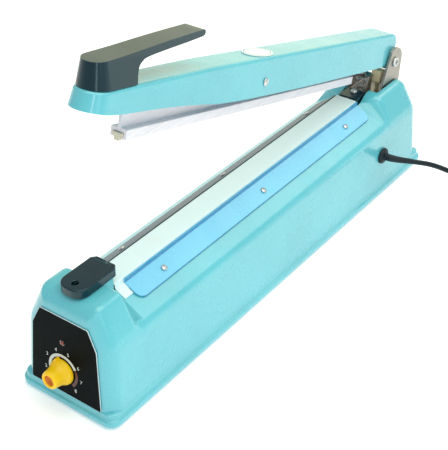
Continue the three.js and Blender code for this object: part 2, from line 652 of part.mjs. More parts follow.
function pressBar() {
  const section = vec2([[-6.4, -16.6], [-2.4, -16.6], [-2.4, -15.2], [-4.4, -15.2], [-4.4, -12.4],
    [4.4, -12.4], [4.4, -15.2], [2.4, -15.2], [2.4, -16.6], [6.4, -16.6], [6.4, -9.8],
    [1.3, -9.8], [1.3, 12], [-1.3, 12], [-1.3, -9.8], [-6.4, -9.8]]);
  const hole = alongX(circle(ROCKER.s, ROCKER.h, ROCKER.pin + GAP, 14), -4, 4);
  return part('press_bar', cut(alongY(section, RAIL.from, RAIL.to), hole), aluminium);
}

function siliconeStrip() {
  const section = vec2([[-2, -18], [2, -18], [2, -14.9], [4.1, -14.9], [4.1, -12.7],
    [-4.1, -12.7], [-4.1, -14.9], [-2, -14.9]]);
  return part('silicone_strip', alongY(section, RAIL.from - 1.5, RAIL.to + 1.5), silicone);
}

function rocker() {
  const { s, h, pin } = ROCKER;
  const head = 14.4;
  const profile = [[0, -head], [pin, -head], [pin, head], [3, head], [2.4, head + 0.9],
    [0, head + 1.2]];
  const rivet = part('bar_pivot_pin', turned(profile, 14).rotateY(Math.PI / 2), steel);
  rivet.position.set(0, s, h);
  const spacers = [['left', -11.3, -1.7], ['right', 1.7, 11.3]].map(([side, a, b]) => (
    part(`bar_spacer_${side}`, alongX(circle(s, h, 4, 16), a, b, [circle(s, h, pin + GAP, 16)]),
      silicone)));
  return [rivet, ...spacers];
}

function pusher() {
  const block = alongX(rectangle(-9, 2, -20, -9, 0.8), 1.6, 10.6);
  return part('switch_pusher', block, beige);
}

// ---------------------------------------------------------------- power cord
// The route leaves the casting sideways, drops to the floor and ends in a neat coil.

const FLOOR = -FOOT_DROP + CORD / 2 + 0.1;
const RELIEF_ROUTE = [[41.6, 357.3, 35.2], [47, 357.9, 35.1], [52, 360, 34.5],
  [57, 363.8, 33.4], [62, 368.6, 31.8]];
const LEAD_ROUTE = [[62.2, 368.8, 31.7], [66, 372.9, 30.2], [70, 377.5, 28.4],
  [75, 383.5, 25.4], [80, 389.7, 21.4], [85, 396, 16.8], [90, 402.2, 12.2], [95.3, 408.6, 7.9],
  [101, 415.4, 4.3], [106.6, 422.2, 2], [111.6, 428, 0.8], [116.8, 433, 0.4],
  [123, 437, FLOOR], [130.6, 438.6, FLOOR]];
const COIL = { x: 152, y: 402, inner: 27.6, outer: 36.6, layers: 2 };
const TAIL_ROUTE = [[188.4, 380.4, 2.8], [187.6, 373, 1.4], [185.8, 365.5, 0.5],
  [182.8, 358.4, 0], [178.8, 351.8, FLOOR], [174.8, 345, FLOOR], [172, 337.6, FLOOR],
  [171, 330, FLOOR]];

function strainRelief() {
  const head = alongX(circle(GLAND.y, GLAND.z, 7, 20), 39.1, 42.2);
  const neck = alongX(circle(GLAND.y, GLAND.z, GLAND.r - GAP, 16), 34, 40);
  const route = new THREE.CatmullRomCurve3(RELIEF_ROUTE.map((p) => new THREE.Vector3(...p)));
  const sleeve = bar(route, (t) => lerp(3.2, 2.5, t), 10, 12);
  return part('strain_relief', join(head, neck, sleeve), rubber);
}

function powerCord() {
  const lead = part('power_cord', rope(LEAD_ROUTE, CORD, 40), rubber);
  const tail = part('cord_tail', rope(TAIL_ROUTE, CORD, 14), rubber);
  const [r0, r1] = [COIL.inner - CORD / 2, COIL.outer + CORD / 2];
  const [z0, z1] = [0, COIL.layers * CORD + 0.2];
  const soft = 1.8;
  const ring = vec2([[r0 + soft, z0], [r1 - soft, z0], [r1, z0 + soft], [r1, z1 - soft],
    [r1 - soft, z1], [r0 + soft, z1], [r0, z1 - soft], [r0, z0 + soft], [r0 + soft, z0]]);
  const coil = part('cord_coil', turned(ring, 36), rubber);
  coil.position.set(COIL.x, COIL.y, -FOOT_DROP + 0.1);
  return [lead, coil, tail];
}

function plug() {
  const profile = rounded([[-6.9, 2, 3], [6.9, 2, 3], [6.9, 12.6, 3], [-6.9, 12.6, 3]], 3);
  const sizes = [[0, 0.42], [6, 0.62], [14, 1], [33, 1], [36, 0.92]];
  const rings = sizes.map(([y, k]) => profile.map((p) => (
    [p.x * (k > 0.9 ? 2.5 * k : lerp(0.6, 2.3, k)), y, 7.3 + (p.y - 7.3) * k])));
  const body = part('plug_body', loft(rings), blackPlastic);
  const pins = [['left', -9.3], ['right', 9.3]].map(([side, x]) => {
    const profilePin = [[0, 0], [2, 0], [2, 17.8], [1.2, 19], [0, 19]];
    const pin = part(`plug_pin_${side}`, turned(profilePin, 12).rotateX(-Math.PI / 2), brass);
    pin.position.set(x, 36.3, 7.3);
    return pin;
  });
  const set = group(body, ...pins);
  set.position.set(171, 329.6, -FOOT_DROP - 1.9);
  set.rotation.z = Math.PI;
  return set;
}

// ---------------------------------------------------------------- assembly

const arm = group(armShell(), armHandle(), ...handleScrews(), badge(), pressBar(),
  siliconeStrip(), ...rocker(), pusher());
arm.position.set(0, PIVOT.y, PIVOT.z);
arm.rotation.x = -OPEN_ANGLE;

const machine = group(part('base_shell', baseShell(), paint), basePlate(), ...feet(),
  controls(), ...electrics(), ...jaw(), ...clampStrips(), ...terminals(), ...hinge(),
  switchPlunger(), arm, strainRelief(), ...powerCord(), plug());
machine.position.set(0, -CENTRE_Y, FOOT_DROP);

export default group(machine);
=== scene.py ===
"""Looks of a hand impulse heat sealer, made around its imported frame.

Shapes are drawn in millimetres in three local frames and then placed in the frame's metres:
BASE  starts at the front edge and the underside of the casting's flange (x across, y back, z up),
FACE  lies on the leaning front wall (x across, y into the wall, z up the wall),
ARM   starts at the hinge pin and is drawn with the arm closed (x across, y along, z up).
"""
import json
import math

import bmesh
import bpy
from mathutils import Matrix, Vector


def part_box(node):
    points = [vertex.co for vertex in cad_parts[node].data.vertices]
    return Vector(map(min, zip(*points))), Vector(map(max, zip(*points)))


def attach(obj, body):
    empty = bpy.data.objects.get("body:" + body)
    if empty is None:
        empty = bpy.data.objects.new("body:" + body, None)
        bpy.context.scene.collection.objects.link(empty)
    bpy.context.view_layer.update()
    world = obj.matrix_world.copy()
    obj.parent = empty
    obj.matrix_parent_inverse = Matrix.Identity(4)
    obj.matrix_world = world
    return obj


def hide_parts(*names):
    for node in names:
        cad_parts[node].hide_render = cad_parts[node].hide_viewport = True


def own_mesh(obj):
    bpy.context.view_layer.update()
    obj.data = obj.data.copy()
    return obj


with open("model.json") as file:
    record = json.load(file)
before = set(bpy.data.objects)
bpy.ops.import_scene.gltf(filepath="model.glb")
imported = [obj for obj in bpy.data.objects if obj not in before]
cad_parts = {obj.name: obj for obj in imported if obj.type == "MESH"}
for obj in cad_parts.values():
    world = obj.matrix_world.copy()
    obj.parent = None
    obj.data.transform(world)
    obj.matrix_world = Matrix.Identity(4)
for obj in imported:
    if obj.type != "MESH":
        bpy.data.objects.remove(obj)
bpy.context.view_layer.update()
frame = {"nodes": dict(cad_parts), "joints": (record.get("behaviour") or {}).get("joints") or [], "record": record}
scene = bpy.context.scene

# ---------------------------------------- frames and driving sizes

MM = 0.001
shell_low, shell_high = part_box("base_shell")
WIDTH = (shell_high.x - shell_low.x) / MM
LENGTH = (shell_high.y - shell_low.y) / MM
hinge = next(joint for joint in frame["joints"] if joint["name"] == "arm_hinge")
OPEN = math.radians(hinge["range_deg"][1])

FACE_Y, FACE_LEAN = 2.1, 0.074              # front wall, leaning back as it rises
BACK_Y, BACK_LEAN = 427.4, 0.07
BASE = Matrix.Translation((0, shell_low.y, shell_low.z)) @ Matrix.Scale(MM, 4)
FACE = BASE @ Matrix.Translation((0, FACE_Y, 0)) @ Matrix.Rotation(-math.atan(FACE_LEAN), 4, "X")
ARM = (Matrix.Translation(hinge["pos_m"]) @ Matrix.Rotation(-OPEN, 4, "X")
       @ Matrix.Scale(MM, 4))
FLOOR_Z = -shell_low.z / MM                 # the table, in the BASE frame

WALL_FOOT = 40.45                           # half width of the casting at z = 0
FRONT_ROUND, REAR_ROUND = 11.5, 15          # vertical corners and end edges
SKIN = 3.0
FLANGE = ((0, 0), (3, 0), (3.5, 0.12), (3.9, 0.45), (4.1, 0.9), (4.2, 1.4), (4.6, 1.75),
          (5.6, 2.0), (8.2, 2.3), (9, 4))   # (height, inset) up the flange's edge
FLANGE_CORNER = 8
FRONT_BLOCK = {"shoulder": (37.3, 57), "edge": (24.5, 84.5), "knee": 28, "soft": 6}
MIDDLE = {"shoulder": (37.3, 59.3), "edge": (10.3, 73.8), "knee": 8, "soft": 1.5}
REAR_BLOCK = {"shoulder": (37.3, 57), "edge": (24.6, 80), "knee": 22, "soft": 10}
BLEND_FRONT = (34, 46.6)
BLEND_REAR = (361, 374)
SLOPE = ((MIDDLE["edge"][1] - MIDDLE["shoulder"][1])
         / (MIDDLE["shoulder"][0] - MIDDLE["edge"][0]))
SLOT = {"half": 18.3, "from": 378, "to": 418.9, "floor": 67}

CLOTH_TOP, CLOTH_THICK = 78.5, 0.35
CLOTH_SIDE, HEM_REACH, TAB_REACH = 9.6, 14.5, 18.3      # half widths
TAB_FROM, CLOTH_FROM, TAB_TO, CLOTH_TO = 46, 50, 54.2, 357
CAP_HALF, CAP_SCREW_Y = 10.9, 19.9
STRIP = {"from": 54.5, "to": 356.8, "in": 10.3, "out": 25, "lift": 0.9, "thick": 1, "lip": 78.3}
STRIP_SCREWS = (86.1, 205.65, 325.2)
STRIP_SCREW_X = 18

PIVOT_Y, PIVOT_Z = 408, 97.1
BOLT_X, BOLT_Y = 9.5, 412                   # the bracket's bolts
PLUNGER_X, PLUNGER_Y = 6, 400
SPRING_X, SPRING_Y = -7, 393.5
ARM_NOSE, ARM_TOP, ARM_SKIN, ARM_FLARE = -388, 23.3, 2, 0.09
ARM_FRONT, ARM_REAR = 12.6, 11.7
ROCKER_S, ROCKER_H = -204.9, 5.8
RAIL = (-347.8, -52.8)
DIP_FROM, DIP_DEPTH, DIP_LOW = -270, 3.2, 8  # how the arm's top falls towards its nose
HANDLE_RINGS = ((18.6, 12.7, -387), (38, 9.4, -386.6), (52, 8.8, -386.4))
HANDLE_TAPER = 0.87
BADGE_S = -200.7
PIN_HOLE, ROCKER_HOLE = 3.3, 2.3            # radii

DIAL_X, DIAL_Z = -1.7, 27.6
LAMP_X, LAMP_Z = -1.7, 50.7
GLAND_Y, GLAND_Z = 357.3, 35.2
CORD = 4.4

# ---------------------------------------- outlines


def lerp(a, b, t):
    return a + (b - a) * t


def smooth(t):
    t = min(max(t, 0.0), 1.0)
    return t * t * (3 - 2 * t)


def spread(start, end, count):
    return [lerp(start, end, i / count) for i in range(count + 1)]


def rounded(corners, steps=6):
    """Corners (a, b, radius) of a closed outline, with an arc in place of each corner."""
    points = []
    for i, corner in enumerate(corners):
        here = Vector(corner[:2])
        radius = corner[2] if len(corner) > 2 else 0
        if radius <= 0:
            points.append(tuple(here))
            continue
        back = (Vector(corners[i - 1][:2]) - here).normalized()
        ahead = (Vector(corners[(i + 1) % len(corners)][:2]) - here).normalized()
        half = back.angle(ahead) / 2
        centre = here + (back + ahead).normalized() * radius / math.sin(half)
        first = here + back * radius / math.tan(half) - centre
        last = here + ahead * radius / math.tan(half) - centre
        turn = math.atan2(first.x * last.y - first.y * last.x, first.dot(last))
        for k in range(steps + 1):
            points.append(tuple(centre + Matrix.Rotation(turn * k / steps, 2) @ first))
    return points


def rectangle(a0, a1, b0, b1, radius=0, steps=6):
    return rounded([(a0, b0, radius), (a1, b0, radius), (a1, b1, radius), (a0, b1, radius)], steps)


def mirrored(right):
    """A closed outline of corners from its right half, begun at the left half's first corner."""
    left = [(-a, *rest) for a, *rest in right]
    return [left[0], *right, *reversed(left[1:])]


def circle(a, b, radius, steps=32, start=0.0, turn=2 * math.pi):
    closed = abs(turn) >= 2 * math.pi - 1e-6
    count = steps if closed else steps + 1
    return [(a + radius * math.cos(start + turn * k / steps),
             b + radius * math.sin(start + turn * k / steps)) for k in range(count)]


def flowing(points, per=6):
    """A smooth open line through points of two or three numbers."""
    line = [Vector(p) for p in points]
    ends = [line[0] * 2 - line[1], *line, line[-1] * 2 - line[-2]]
    result = []
    for i in range(len(line) - 1):
        p0, p1, p2, p3 = ends[i:i + 4]
        for k in range(per):
            t = k / per
            result.append((p1 * 2 + (p2 - p0) * t + (p0 * 2 - p1 * 5 + p2 * 4 - p3) * t ** 2
                           + (p1 * 3 - p0 - p2 * 3 + p3) * t ** 3) / 2)
    return [tuple(p) for p in [*result, line[-1]]]


# ---------------------------------------- solids


def linked(name, data):
    thing = bpy.data.objects.new(name, data)
    scene.collection.objects.link(thing)
    return thing


def solid(vertices, faces):
    mesh = bpy.data.meshes.new("tool")
    mesh.from_pydata([tuple(v) for v in vertices], [], faces)
    shape = bmesh.new()
    shape.from_mesh(mesh)
    bmesh.ops.remove_doubles(shape, verts=shape.verts, dist=1e-5)
    bmesh.ops.recalc_face_normals(shape, faces=shape.faces)
    shape.to_mesh(mesh)
    shape.free()
    return linked("tool", mesh)


def loft(rings):
    """A closed skin through rings of the same number of points, with flat ends."""
    count = len(rings[0])
    faces = [list(range(count)), list(range((len(rings) - 1) * count, len(rings) * count))]
    for r in range(len(rings) - 1):
        for k in range(count):
            a, b = r * count + k, r * count + (k + 1) % count
            faces.append((a, b, b + count, a + count))
    return solid([p for ring in rings for p in ring], faces)


def prism(outline, low, high, axis):
    """Outline (y, z) swept along X, (x, z) along Y or (x, y) along Z."""
    place = {"X": lambda a, b, t: (t, a, b), "Y": lambda a, b, t: (a, t, b),
             "Z": lambda a, b, t: (a, b, t)}[axis]
    return loft([[place(a, b, t) for a, b in outline] for t in (low, high)])


def lathe(profile, steps=48):
    """Turned about Z from (radius, z) points, closed over the axis at both ends."""
    return loft([[(r * math.cos(a), r * math.sin(a), z)
                  for a in (2 * math.pi * k / steps for k in range(steps))]
                 for r, z in profile if r > 1e-6])


def sweep(points, radius, sides):
    """A round bar along points, its radius a number or a function of the share of the length."""
    line = [Vector(p) for p in points]
    size = radius if callable(radius) else lambda t: radius
    along = (line[1] - line[0]).normalized()
    side = along.orthogonal().normalized()
    rings = []
    for i, here in enumerate(line):
        ahead = (line[min(i + 1, len(line) - 1)] - line[max(i - 1, 0)]).normalized()
        side = (side - ahead * side.dot(ahead)).normalized()
        up = ahead.cross(side)
        r = size(i / (len(line) - 1))
        rings.append([here + side * (r * math.cos(a)) + up * (r * math.sin(a))
                      for a in (2 * math.pi * k / sides for k in range(sides))])
    return loft(rings)


def at(x, y, z, turn=0.0, axis="Z"):
    """The place of a thing that is turned about an axis of its own and then set down."""
    return Matrix.Translation((x, y, z)) @ Matrix.Rotation(turn, 4, axis)


def moved(thing, matrix):
    thing.data.transform(matrix)
    return thing


def final_mesh(thing):
    bpy.context.view_layer.update()
    graph = bpy.context.evaluated_depsgraph_get()
    return bpy.data.meshes.new_from_object(thing.evaluated_get(graph))


def settle(thing):
    """Puts the modifiers' result in the mesh."""
    mesh = final_mesh(thing)
    thing.modifiers.clear()
    thing.data = mesh
    return thing


def combine(thing, operation, *tools):
    for tool in tools:
        step = thing.modifiers.new("combine", "BOOLEAN")
        step.operation = operation
        step.solver = "EXACT"
        step.object = tool
    settle(thing)
    for tool in tools:
        bpy.data.objects.remove(tool)
    return thing


def cut(thing, *tools):
    return combine(thing, "DIFFERENCE", *tools)


def join(thing, *tools):
    return combine(thing, "UNION", *tools)


def common(thing, *tools):
    return combine(thing, "INTERSECT", *tools)


def gathered(*things):
    """Several loose shells in one mesh."""
    shape = bmesh.new()
    for thing in things:
        shape.from_mesh(thing.data)
    mesh = bpy.data.meshes.new("gathered")
    shape.to_mesh(mesh)
    shape.free()
    for thing in things[1:]:
        bpy.data.objects.remove(thing)
    things[0].data = mesh
    return things[0]


def softened(thing, width, angle=32, segments=3):
    """Rounded edges, and normals that keep flat faces flat."""
    if width > 0:
        step = thing.modifiers.new("edges", "BEVEL")
        step.width = width
        step.segments = segments
        step.limit_method = "ANGLE"
        step.angle_limit = math.radians(angle)
        step.miter_outer = "MITER_ARC"
    settle(thing)
    for face in thing.data.polygons:
        face.use_smooth = True
    thing.data.set_sharp_from_angle(angle=math.radians(50))
    normals = thing.modifiers.new("normals", "WEIGHTED_NORMAL")
    normals.keep_sharp = True
    return settle(thing)


def piece(name, thing, place, body, slot, cad=(), soft=0.3, angle=32, segments=3, look=None):
    """Names a finished solid, rounds its edges, places it and hands it to its body."""
    softened(thing, soft, angle, segments)
    thing.name = name
    thing.data.name = name
    thing.data.transform(place)
    thing.data.materials.clear()
    thing.data.materials.append(look or LOOKS[slot])
    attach(thing, body)
    if cad:
        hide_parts(*cad)
    return thing


# ---------------------------------------- materials


class Looks:
    """A node tree being written, with its Principled shader."""

    def __init__(self, name):
        self.material = bpy.data.materials.new(name)
        self.material.use_nodes = True
        self.tree = self.material.node_tree
        self.shader = self.tree.nodes["Principled BSDF"]
        self.place = self.node("TexCoord").outputs["Object"]

    def node(self, kind, settings=None, **inputs):
        made = self.tree.nodes.new("ShaderNode" + kind)
        for key, value in (settings or {}).items():
            setattr(made, key, value)
        for key, value in inputs.items():
            self.put(made.inputs[key.replace("_", " ")], value)
        return made

    def put(self, socket, value):
        if isinstance(value, bpy.types.NodeSocket):
            self.tree.links.new(value, socket)
        else:
            socket.default_value = value

    def set(self, **inputs):
        for key, value in inputs.items():
            self.put(self.shader.inputs[key.replace("_", " ")], value)

    def stretched(self, scale):
        return self.node("Mapping", Vector=self.place, Scale=scale).outputs["Vector"]

    def noise(self, scale, detail=3.0, rough=0.55, where=None):
        made = self.node("TexNoise", Vector=where or self.place, Scale=scale, Detail=detail,
                         Roughness=rough)
        return made.outputs["Fac"]

    def cells(self, scale, feature="F1"):
        made = self.node("TexVoronoi", {"feature": feature}, Vector=self.place, Scale=scale)
        return made.outputs["Distance"]

    def between(self, value, low, high, start=0.0, end=1.0):
        return self.node("MapRange", Value=value, From_Min=low, From_Max=high, To_Min=start,
                         To_Max=end).outputs["Result"]

    def mix(self, share, first, second):
        made = self.node("Mix", {"data_type": "RGBA"})
        self.put(made.inputs[0], share)
        self.put(made.inputs[6], first)
        self.put(made.inputs[7], second)
        return made.outputs[2]

    def times(self, first, second):
        made = self.node("Math", {"operation": "MULTIPLY"})
        self.put(made.inputs[0], first)
        self.put(made.inputs[1], second)
        return made.outputs[0]

    def bump(self, height, distance, strength=1.0, below=None):
        made = self.node("Bump", Height=height, Distance=distance, Strength=strength)
        if below is not None:
            self.put(made.inputs["Normal"], below)
        return made.outputs["Normal"]

    def edge_wear(self, radius):
        """Near 1 along sharp edges and 0 on open faces."""
        round_normal = self.node("Bevel", {"samples": 4}, Radius=radius).outputs["Normal"]
        true_normal = self.node("NewGeometry").outputs["Normal"]
        made = self.node("VectorMath", {"operation": "DOT_PRODUCT"})
        self.put(made.inputs[0], round_normal)
        self.put(made.inputs[1], true_normal)
        return self.between(made.outputs["Value"], 0.995, 0.90)


def rgb(code):
    """Linear colour from a six-digit sRGB code."""
    parts = [int(code[i:i + 2], 16) / 255 for i in (0, 2, 4)]
    return (*(p / 12.92 if p <= 0.04045 else ((p + 0.055) / 1.055) ** 2.4 for p in parts), 1)


def shade(color, factor):
    return (*(min(c * factor, 1) for c in color[:3]), 1)


def enamel(name, code, mottle=0.05):
    """Glossy hammered enamel: shallow round dimples, orange peel and a faint mottle."""
    look = Looks(name)
    base = rgb(code)
    dimples = look.between(look.cells(230, "SMOOTH_F1"), 0.1, 0.75)
    peel = look.noise(520, 2)
    drift = look.noise(14, 3)
    colour = look.mix(look.between(drift, 0.35, 0.65), shade(base, 1 - mottle),
                      shade(base, 1 + mottle))
    colour = look.mix(look.between(dimples, 0.0, 1.0, 0.0, 0.04), colour, shade(base, 0.75))
    worn = look.times(look.edge_wear(0.0006), look.between(look.noise(160, 4), 0.56, 0.62))
    colour = look.mix(look.times(worn, 0.35), colour, shade(base, 1.5))
    under = look.bump(dimples, 0.00005, 0.15)
    normal = look.bump(peel, 0.00003, 0.2, under)
    look.set(Base_Color=colour, Roughness=look.between(look.noise(60), 0.3, 0.7, 0.2, 0.34),
             Normal=normal, Coat_Weight=0.6, Coat_Roughness=0.08, Coat_Normal=normal)
    return look.material


def plastic(name, code, rough=0.35, grain=900, depth=0.00004, coat=0.0, mottle=0.12, wear=0.0,
            gloss=0.5, tint=(1, 1, 1, 1)):
    look = Looks(name)
    base = rgb(code)
    colour = look.mix(look.between(look.noise(45, 4), 0.3, 0.7), shade(base, 1 - mottle),
                      shade(base, 1 + mottle))
    if wear:
        edge = look.times(look.edge_wear(0.0007), look.between(look.noise(300, 4), 0.45, 0.6))
        colour = look.mix(look.times(edge, wear), colour, shade(base, 4))
    look.set(Base_Color=colour, Coat_Weight=coat, Coat_Roughness=0.12, Specular_IOR_Level=gloss,
             Specular_Tint=tint,
             Roughness=look.between(look.noise(120, 3), 0.3, 0.7, rough * 0.85, rough * 1.2),
             Normal=look.bump(look.noise(grain, 3), depth, 0.6))
    return look.material


def metal(name, code, rough=0.3, streak=(60, 60, 60), depth=0.00002, metallic=1.0, dirt=0.25):
    """Bare metal with fine streaks along the axis whose number is small."""
    look = Looks(name)
    base = rgb(code)
    lines = look.noise(1, 4, 0.6, look.stretched(streak))
    spots = look.noise(180, 4, 0.65)
    colour = look.mix(look.between(lines, 0.25, 0.75), shade(base, 0.84), shade(base, 1.08))
    colour = look.mix(look.between(spots, 0.55, 0.8, 0, dirt), colour, shade(base, 0.45))
    look.set(Base_Color=colour, Metallic=metallic,
             Roughness=look.between(lines, 0.2, 0.8, rough * 0.75, rough * 1.3),
             Normal=look.bump(lines, depth, 0.7))
    return look.material


def woven(name, code):
    """Coated glass cloth: a very fine square weave under a satin skin."""
    look = Looks(name)
    base = rgb(code)
    waves = [look.node("TexWave", {"bands_direction": axis}, Vector=look.place, Scale=420,
                       Distortion=0.6, Detail=2).outputs["Fac"] for axis in ("X", "Y")]
    weave = look.times(*waves)
    colour = look.mix(look.between(weave, 0, 1, 0, 0.25), shade(base, 1.03), shade(base, 0.9))
    stain = look.between(look.noise(30, 5), 0.55, 0.75, 0, 0.2)
    colour = look.mix(stain, colour, rgb("D8D3BC"))
    look.set(Base_Color=colour, Roughness=0.42, Sheen_Weight=0.15,
             Normal=look.bump(weave, 0.00005, 0.5))
    return look.material


def lens(name, code):
    look = Looks(name)
    base = rgb(code)
    ribs = look.cells(1500)
    look.set(Base_Color=look.mix(ribs, shade(base, 0.7), shade(base, 1.3)), Roughness=0.16,
             Transmission_Weight=0.25, Coat_Weight=0.8, Normal=look.bump(ribs, 0.00008, 0.4))
    return look.material


LOOKS = {
    "body_paint": enamel("body_paint", "60BFCD"),
    "strip_paint": enamel("strip_paint", "5FC2E6", 0.04),
    "black_plastic": plastic("black_plastic", "0A222E", 0.2, wear=0.15, coat=0.12, gloss=0.52,
                             tint=(0.6, 0.97, 1, 1)),
    "panel_film": plastic("panel_film", "02090B", 0.4, grain=1500, depth=0.00001, gloss=0.04),
    "plain_steel": metal("plain_steel", "D6D9DA", 0.3, (120, 120, 120), metallic=0.85),
    "zinc_steel": metal("zinc_steel", "A9A49E", 0.42, (90, 90, 40), dirt=0.4),
    "bar_aluminium": metal("bar_aluminium", "F0EDF4", 0.5, (900, 6, 900), metallic=0.15),
    "brass_plated": metal("brass_plated", "C9A660", 0.3, (150, 150, 150)),
    "knob_plastic": plastic("knob_plastic", "FACB06", 0.34, mottle=0.04, coat=0.1, gloss=0.35),
    "lamp_lens": lens("lamp_lens", "8A2A20"),
    "badge_vinyl": plastic("badge_vinyl", "EEF1F0", 0.35, mottle=0.02, depth=0.00001),
    "ptfe_cloth": woven("ptfe_cloth", "DFF5F8"),
    "silicone_rubber": plastic("silicone_rubber", "DAD5C0", 0.6, mottle=0.05, depth=0.00003),
    "black_rubber": plastic("black_rubber", "13222A", 0.5, grain=1200, depth=0.00003, gloss=0.3),
    "beige_plastic": plastic("beige_plastic", "DCCDA4", 0.45, mottle=0.06),
    "nichrome": metal("nichrome", "9C958B", 0.35, (400, 8, 400)),
    "laminate": plastic("laminate", "6A5236", 0.6, mottle=0.25),
    "iron_core": metal("iron_core", "5A5D60", 0.5, (30, 2600, 30), depth=0.0001, metallic=0.7),
    "copper_winding": metal("copper_winding", "A8642C", 0.35, (40, 900, 900), depth=0.0002),
    "circuit_board": plastic("circuit_board", "2F6B45", 0.4, coat=0.3),
}
SLOTS = {row["node"]: row["material_slot"] for row in frame["record"]["subparts"]}

# ---------------------------------------- base casting


def section(shape, inset=0.0, foot=0.0):
    """Ring of the casting at one place along Y: walls, shoulders and top edges."""
    shoulder, edge = Vector(shape["shoulder"]), Vector(shape["edge"])
    wall = Vector((shoulder.x - WALL_FOOT, shoulder.y)).normalized()
    chamfer = (edge - shoulder).normalized()
    lean, fall = wall.x / wall.y, chamfer.x / chamfer.y
    foot_x = WALL_FOOT - inset / wall.y
    near_x, near_z = shoulder.x - inset * chamfer.y, shoulder.y + inset * chamfer.x
    knee = (foot_x - near_x + near_z * fall) / (fall - lean)
    top = edge.y - inset
    half = [(foot_x + foot * lean, foot, 0),
            (foot_x + knee * lean, knee, max(shape["knee"] - inset, 2)),
            (near_x + (top - near_z) * fall, top, max(shape["soft"] - inset, 1))]
    return rounded(half + [(-x, z, r) for x, z, r in reversed(half)], 10)


def blended(y):
    """The casting's section at y, between those of the end blocks and of the middle."""
    front = smooth((y - BLEND_FRONT[0]) / (BLEND_FRONT[1] - BLEND_FRONT[0]))
    rear = smooth((y - BLEND_REAR[0]) / (BLEND_REAR[1] - BLEND_REAR[0]))
    first, second, t = (MIDDLE, REAR_BLOCK, rear) if rear > 0 else (FRONT_BLOCK, MIDDLE, front)
    return {**{key: [lerp(a, b, t) for a, b in zip(first[key], second[key])]
               for key in ("shoulder", "edge")},
            **{key: lerp(first[key], second[key], t) for key in ("knee", "soft")}}


def casting():
    turns = spread(0, math.pi / 2, 12)

    def end(block, radius, wall, lean, inward):
        return [[(x, wall + inward * (lean * z + radius * (1 - math.cos(a))), z)
                 for x, z in section(block, radius * (1 - math.sin(a)))] for a in turns]

    stations = spread(*BLEND_FRONT, 14) + spread(*BLEND_REAR, 12)
    middle = [[(x, y, z) for x, z in section(blended(y))] for y in stations]
    body = loft([*end(FRONT_BLOCK, FRONT_ROUND, FACE_Y, FACE_LEAN, 1), *middle,
                 *reversed(end(REAR_BLOCK, REAR_ROUND, BACK_Y, BACK_LEAN, -1))])

    flange = loft([[(x, y, z) for x, y in rectangle(
        -WIDTH / 2 + inset, WIDTH / 2 - inset, inset, LENGTH - inset, FLANGE_CORNER - inset, 12)]
        for z, inset in FLANGE])

    def inner(y, inset, lean=0.0):
        return [(x, y + lean * z, z) for x, z in section(blended(y), inset, -1)]

    hollow = loft([inner(FACE_Y + 3.2, 7.5, FACE_LEAN), inner(FACE_Y + 4.5, 5.6, FACE_LEAN),
                   inner(FACE_Y + 9, SKIN + 0.4, FACE_LEAN), inner(FACE_Y + 13, SKIN, FACE_LEAN),
                   inner(33, SKIN + 0.3), inner(40, SKIN + 0.8), inner(46.6, SKIN + 0.4),
                   inner(50, SKIN), inner(354, SKIN)])
    tail = common(prism(rounded(mirrored([(37.2, -1), (34, 55, 6), (22, 62, 6)])), 353, 420, "Y"),
                  prism(rectangle(-37.2, 37.2, 300, 420, 15), -2, 64, "Z"))
    recess = prism(rectangle(-SLOT["half"], SLOT["half"], SLOT["from"], SLOT["to"], 2),
                   SLOT["floor"], 90, "Z")
    channel = prism(rectangle(-10.4, 10.4, 357.3, 380), 69, 90, "Z")
    gland = prism(circle(GLAND_Y, GLAND_Z, 4.2), 30, 45, "X")
    boss = prism(rectangle(-10, 10, 30, 45.7, 1.5), 70, FRONT_BLOCK["edge"][1] - 0.2, "Z")
    body = cut(join(body, flange, boss), hollow, tail, recess, channel, gland)
    piece("casting", body, BASE, "base", "body_paint", ["base_shell"], 0.8, 38, 4)


# ---------------------------------------- front panel, dial and lamp

PANEL = mirrored([(31.1, 8.9, 1.5), (28, 56.5, 1.5), (20.8, 71, 1.5)])
PANEL_FRONT = -1.1
PRINT = 0.05                                # how far the printing stands proud
DIAL_BAND = (10.8, 13.0)
DIAL_WHITE, DIAL_WARM = (195, 27), (25, -47)            # degrees
NUMBER_RADIUS, NUMBER_SIZE = 16, 3.9
NUMBER_START, NUMBER_STEP = 232, 40         # degrees, counting down clockwise
KNOB_TURN = math.radians(19)


def panel():
    plate = prism(rounded(PANEL, 6), PANEL_FRONT, -0.3, "Y")
    holes = [prism(circle(DIAL_X, DIAL_Z, 3.5), -3, 1, "Y"),
             prism(circle(LAMP_X, LAMP_Z, 1.8), -3, 1, "Y")]
    plate = piece("panel", cut(plate, *holes), FACE, "base", "panel_film", ["control_panel"], 0.22)
    plate.data.materials.append(plastic("panel_rim", "C9DCE2", 0.3, mottle=0.04))
    outward = FACE.to_3x3().normalized() @ Vector((0, -1, 0))
    for face in plate.data.polygons:
        if abs(face.normal.dot(outward)) < 0.97:
            face.material_index = 1


def printed(shapes, name, look):
    piece(name, gathered(*shapes), FACE, "base", "panel_film", soft=0, look=look)


def band(inner, outer, start, end):
    """A flat arc of the dial, between two angles in degrees."""
    first, turn = math.radians(start), math.radians(end - start)
    outline = (circle(DIAL_X, DIAL_Z, outer, 40, first, turn)
               + circle(DIAL_X, DIAL_Z, inner, 40, first + turn, -turn))
    return prism(outline, PANEL_FRONT - PRINT, PANEL_FRONT + PRINT, "Y")


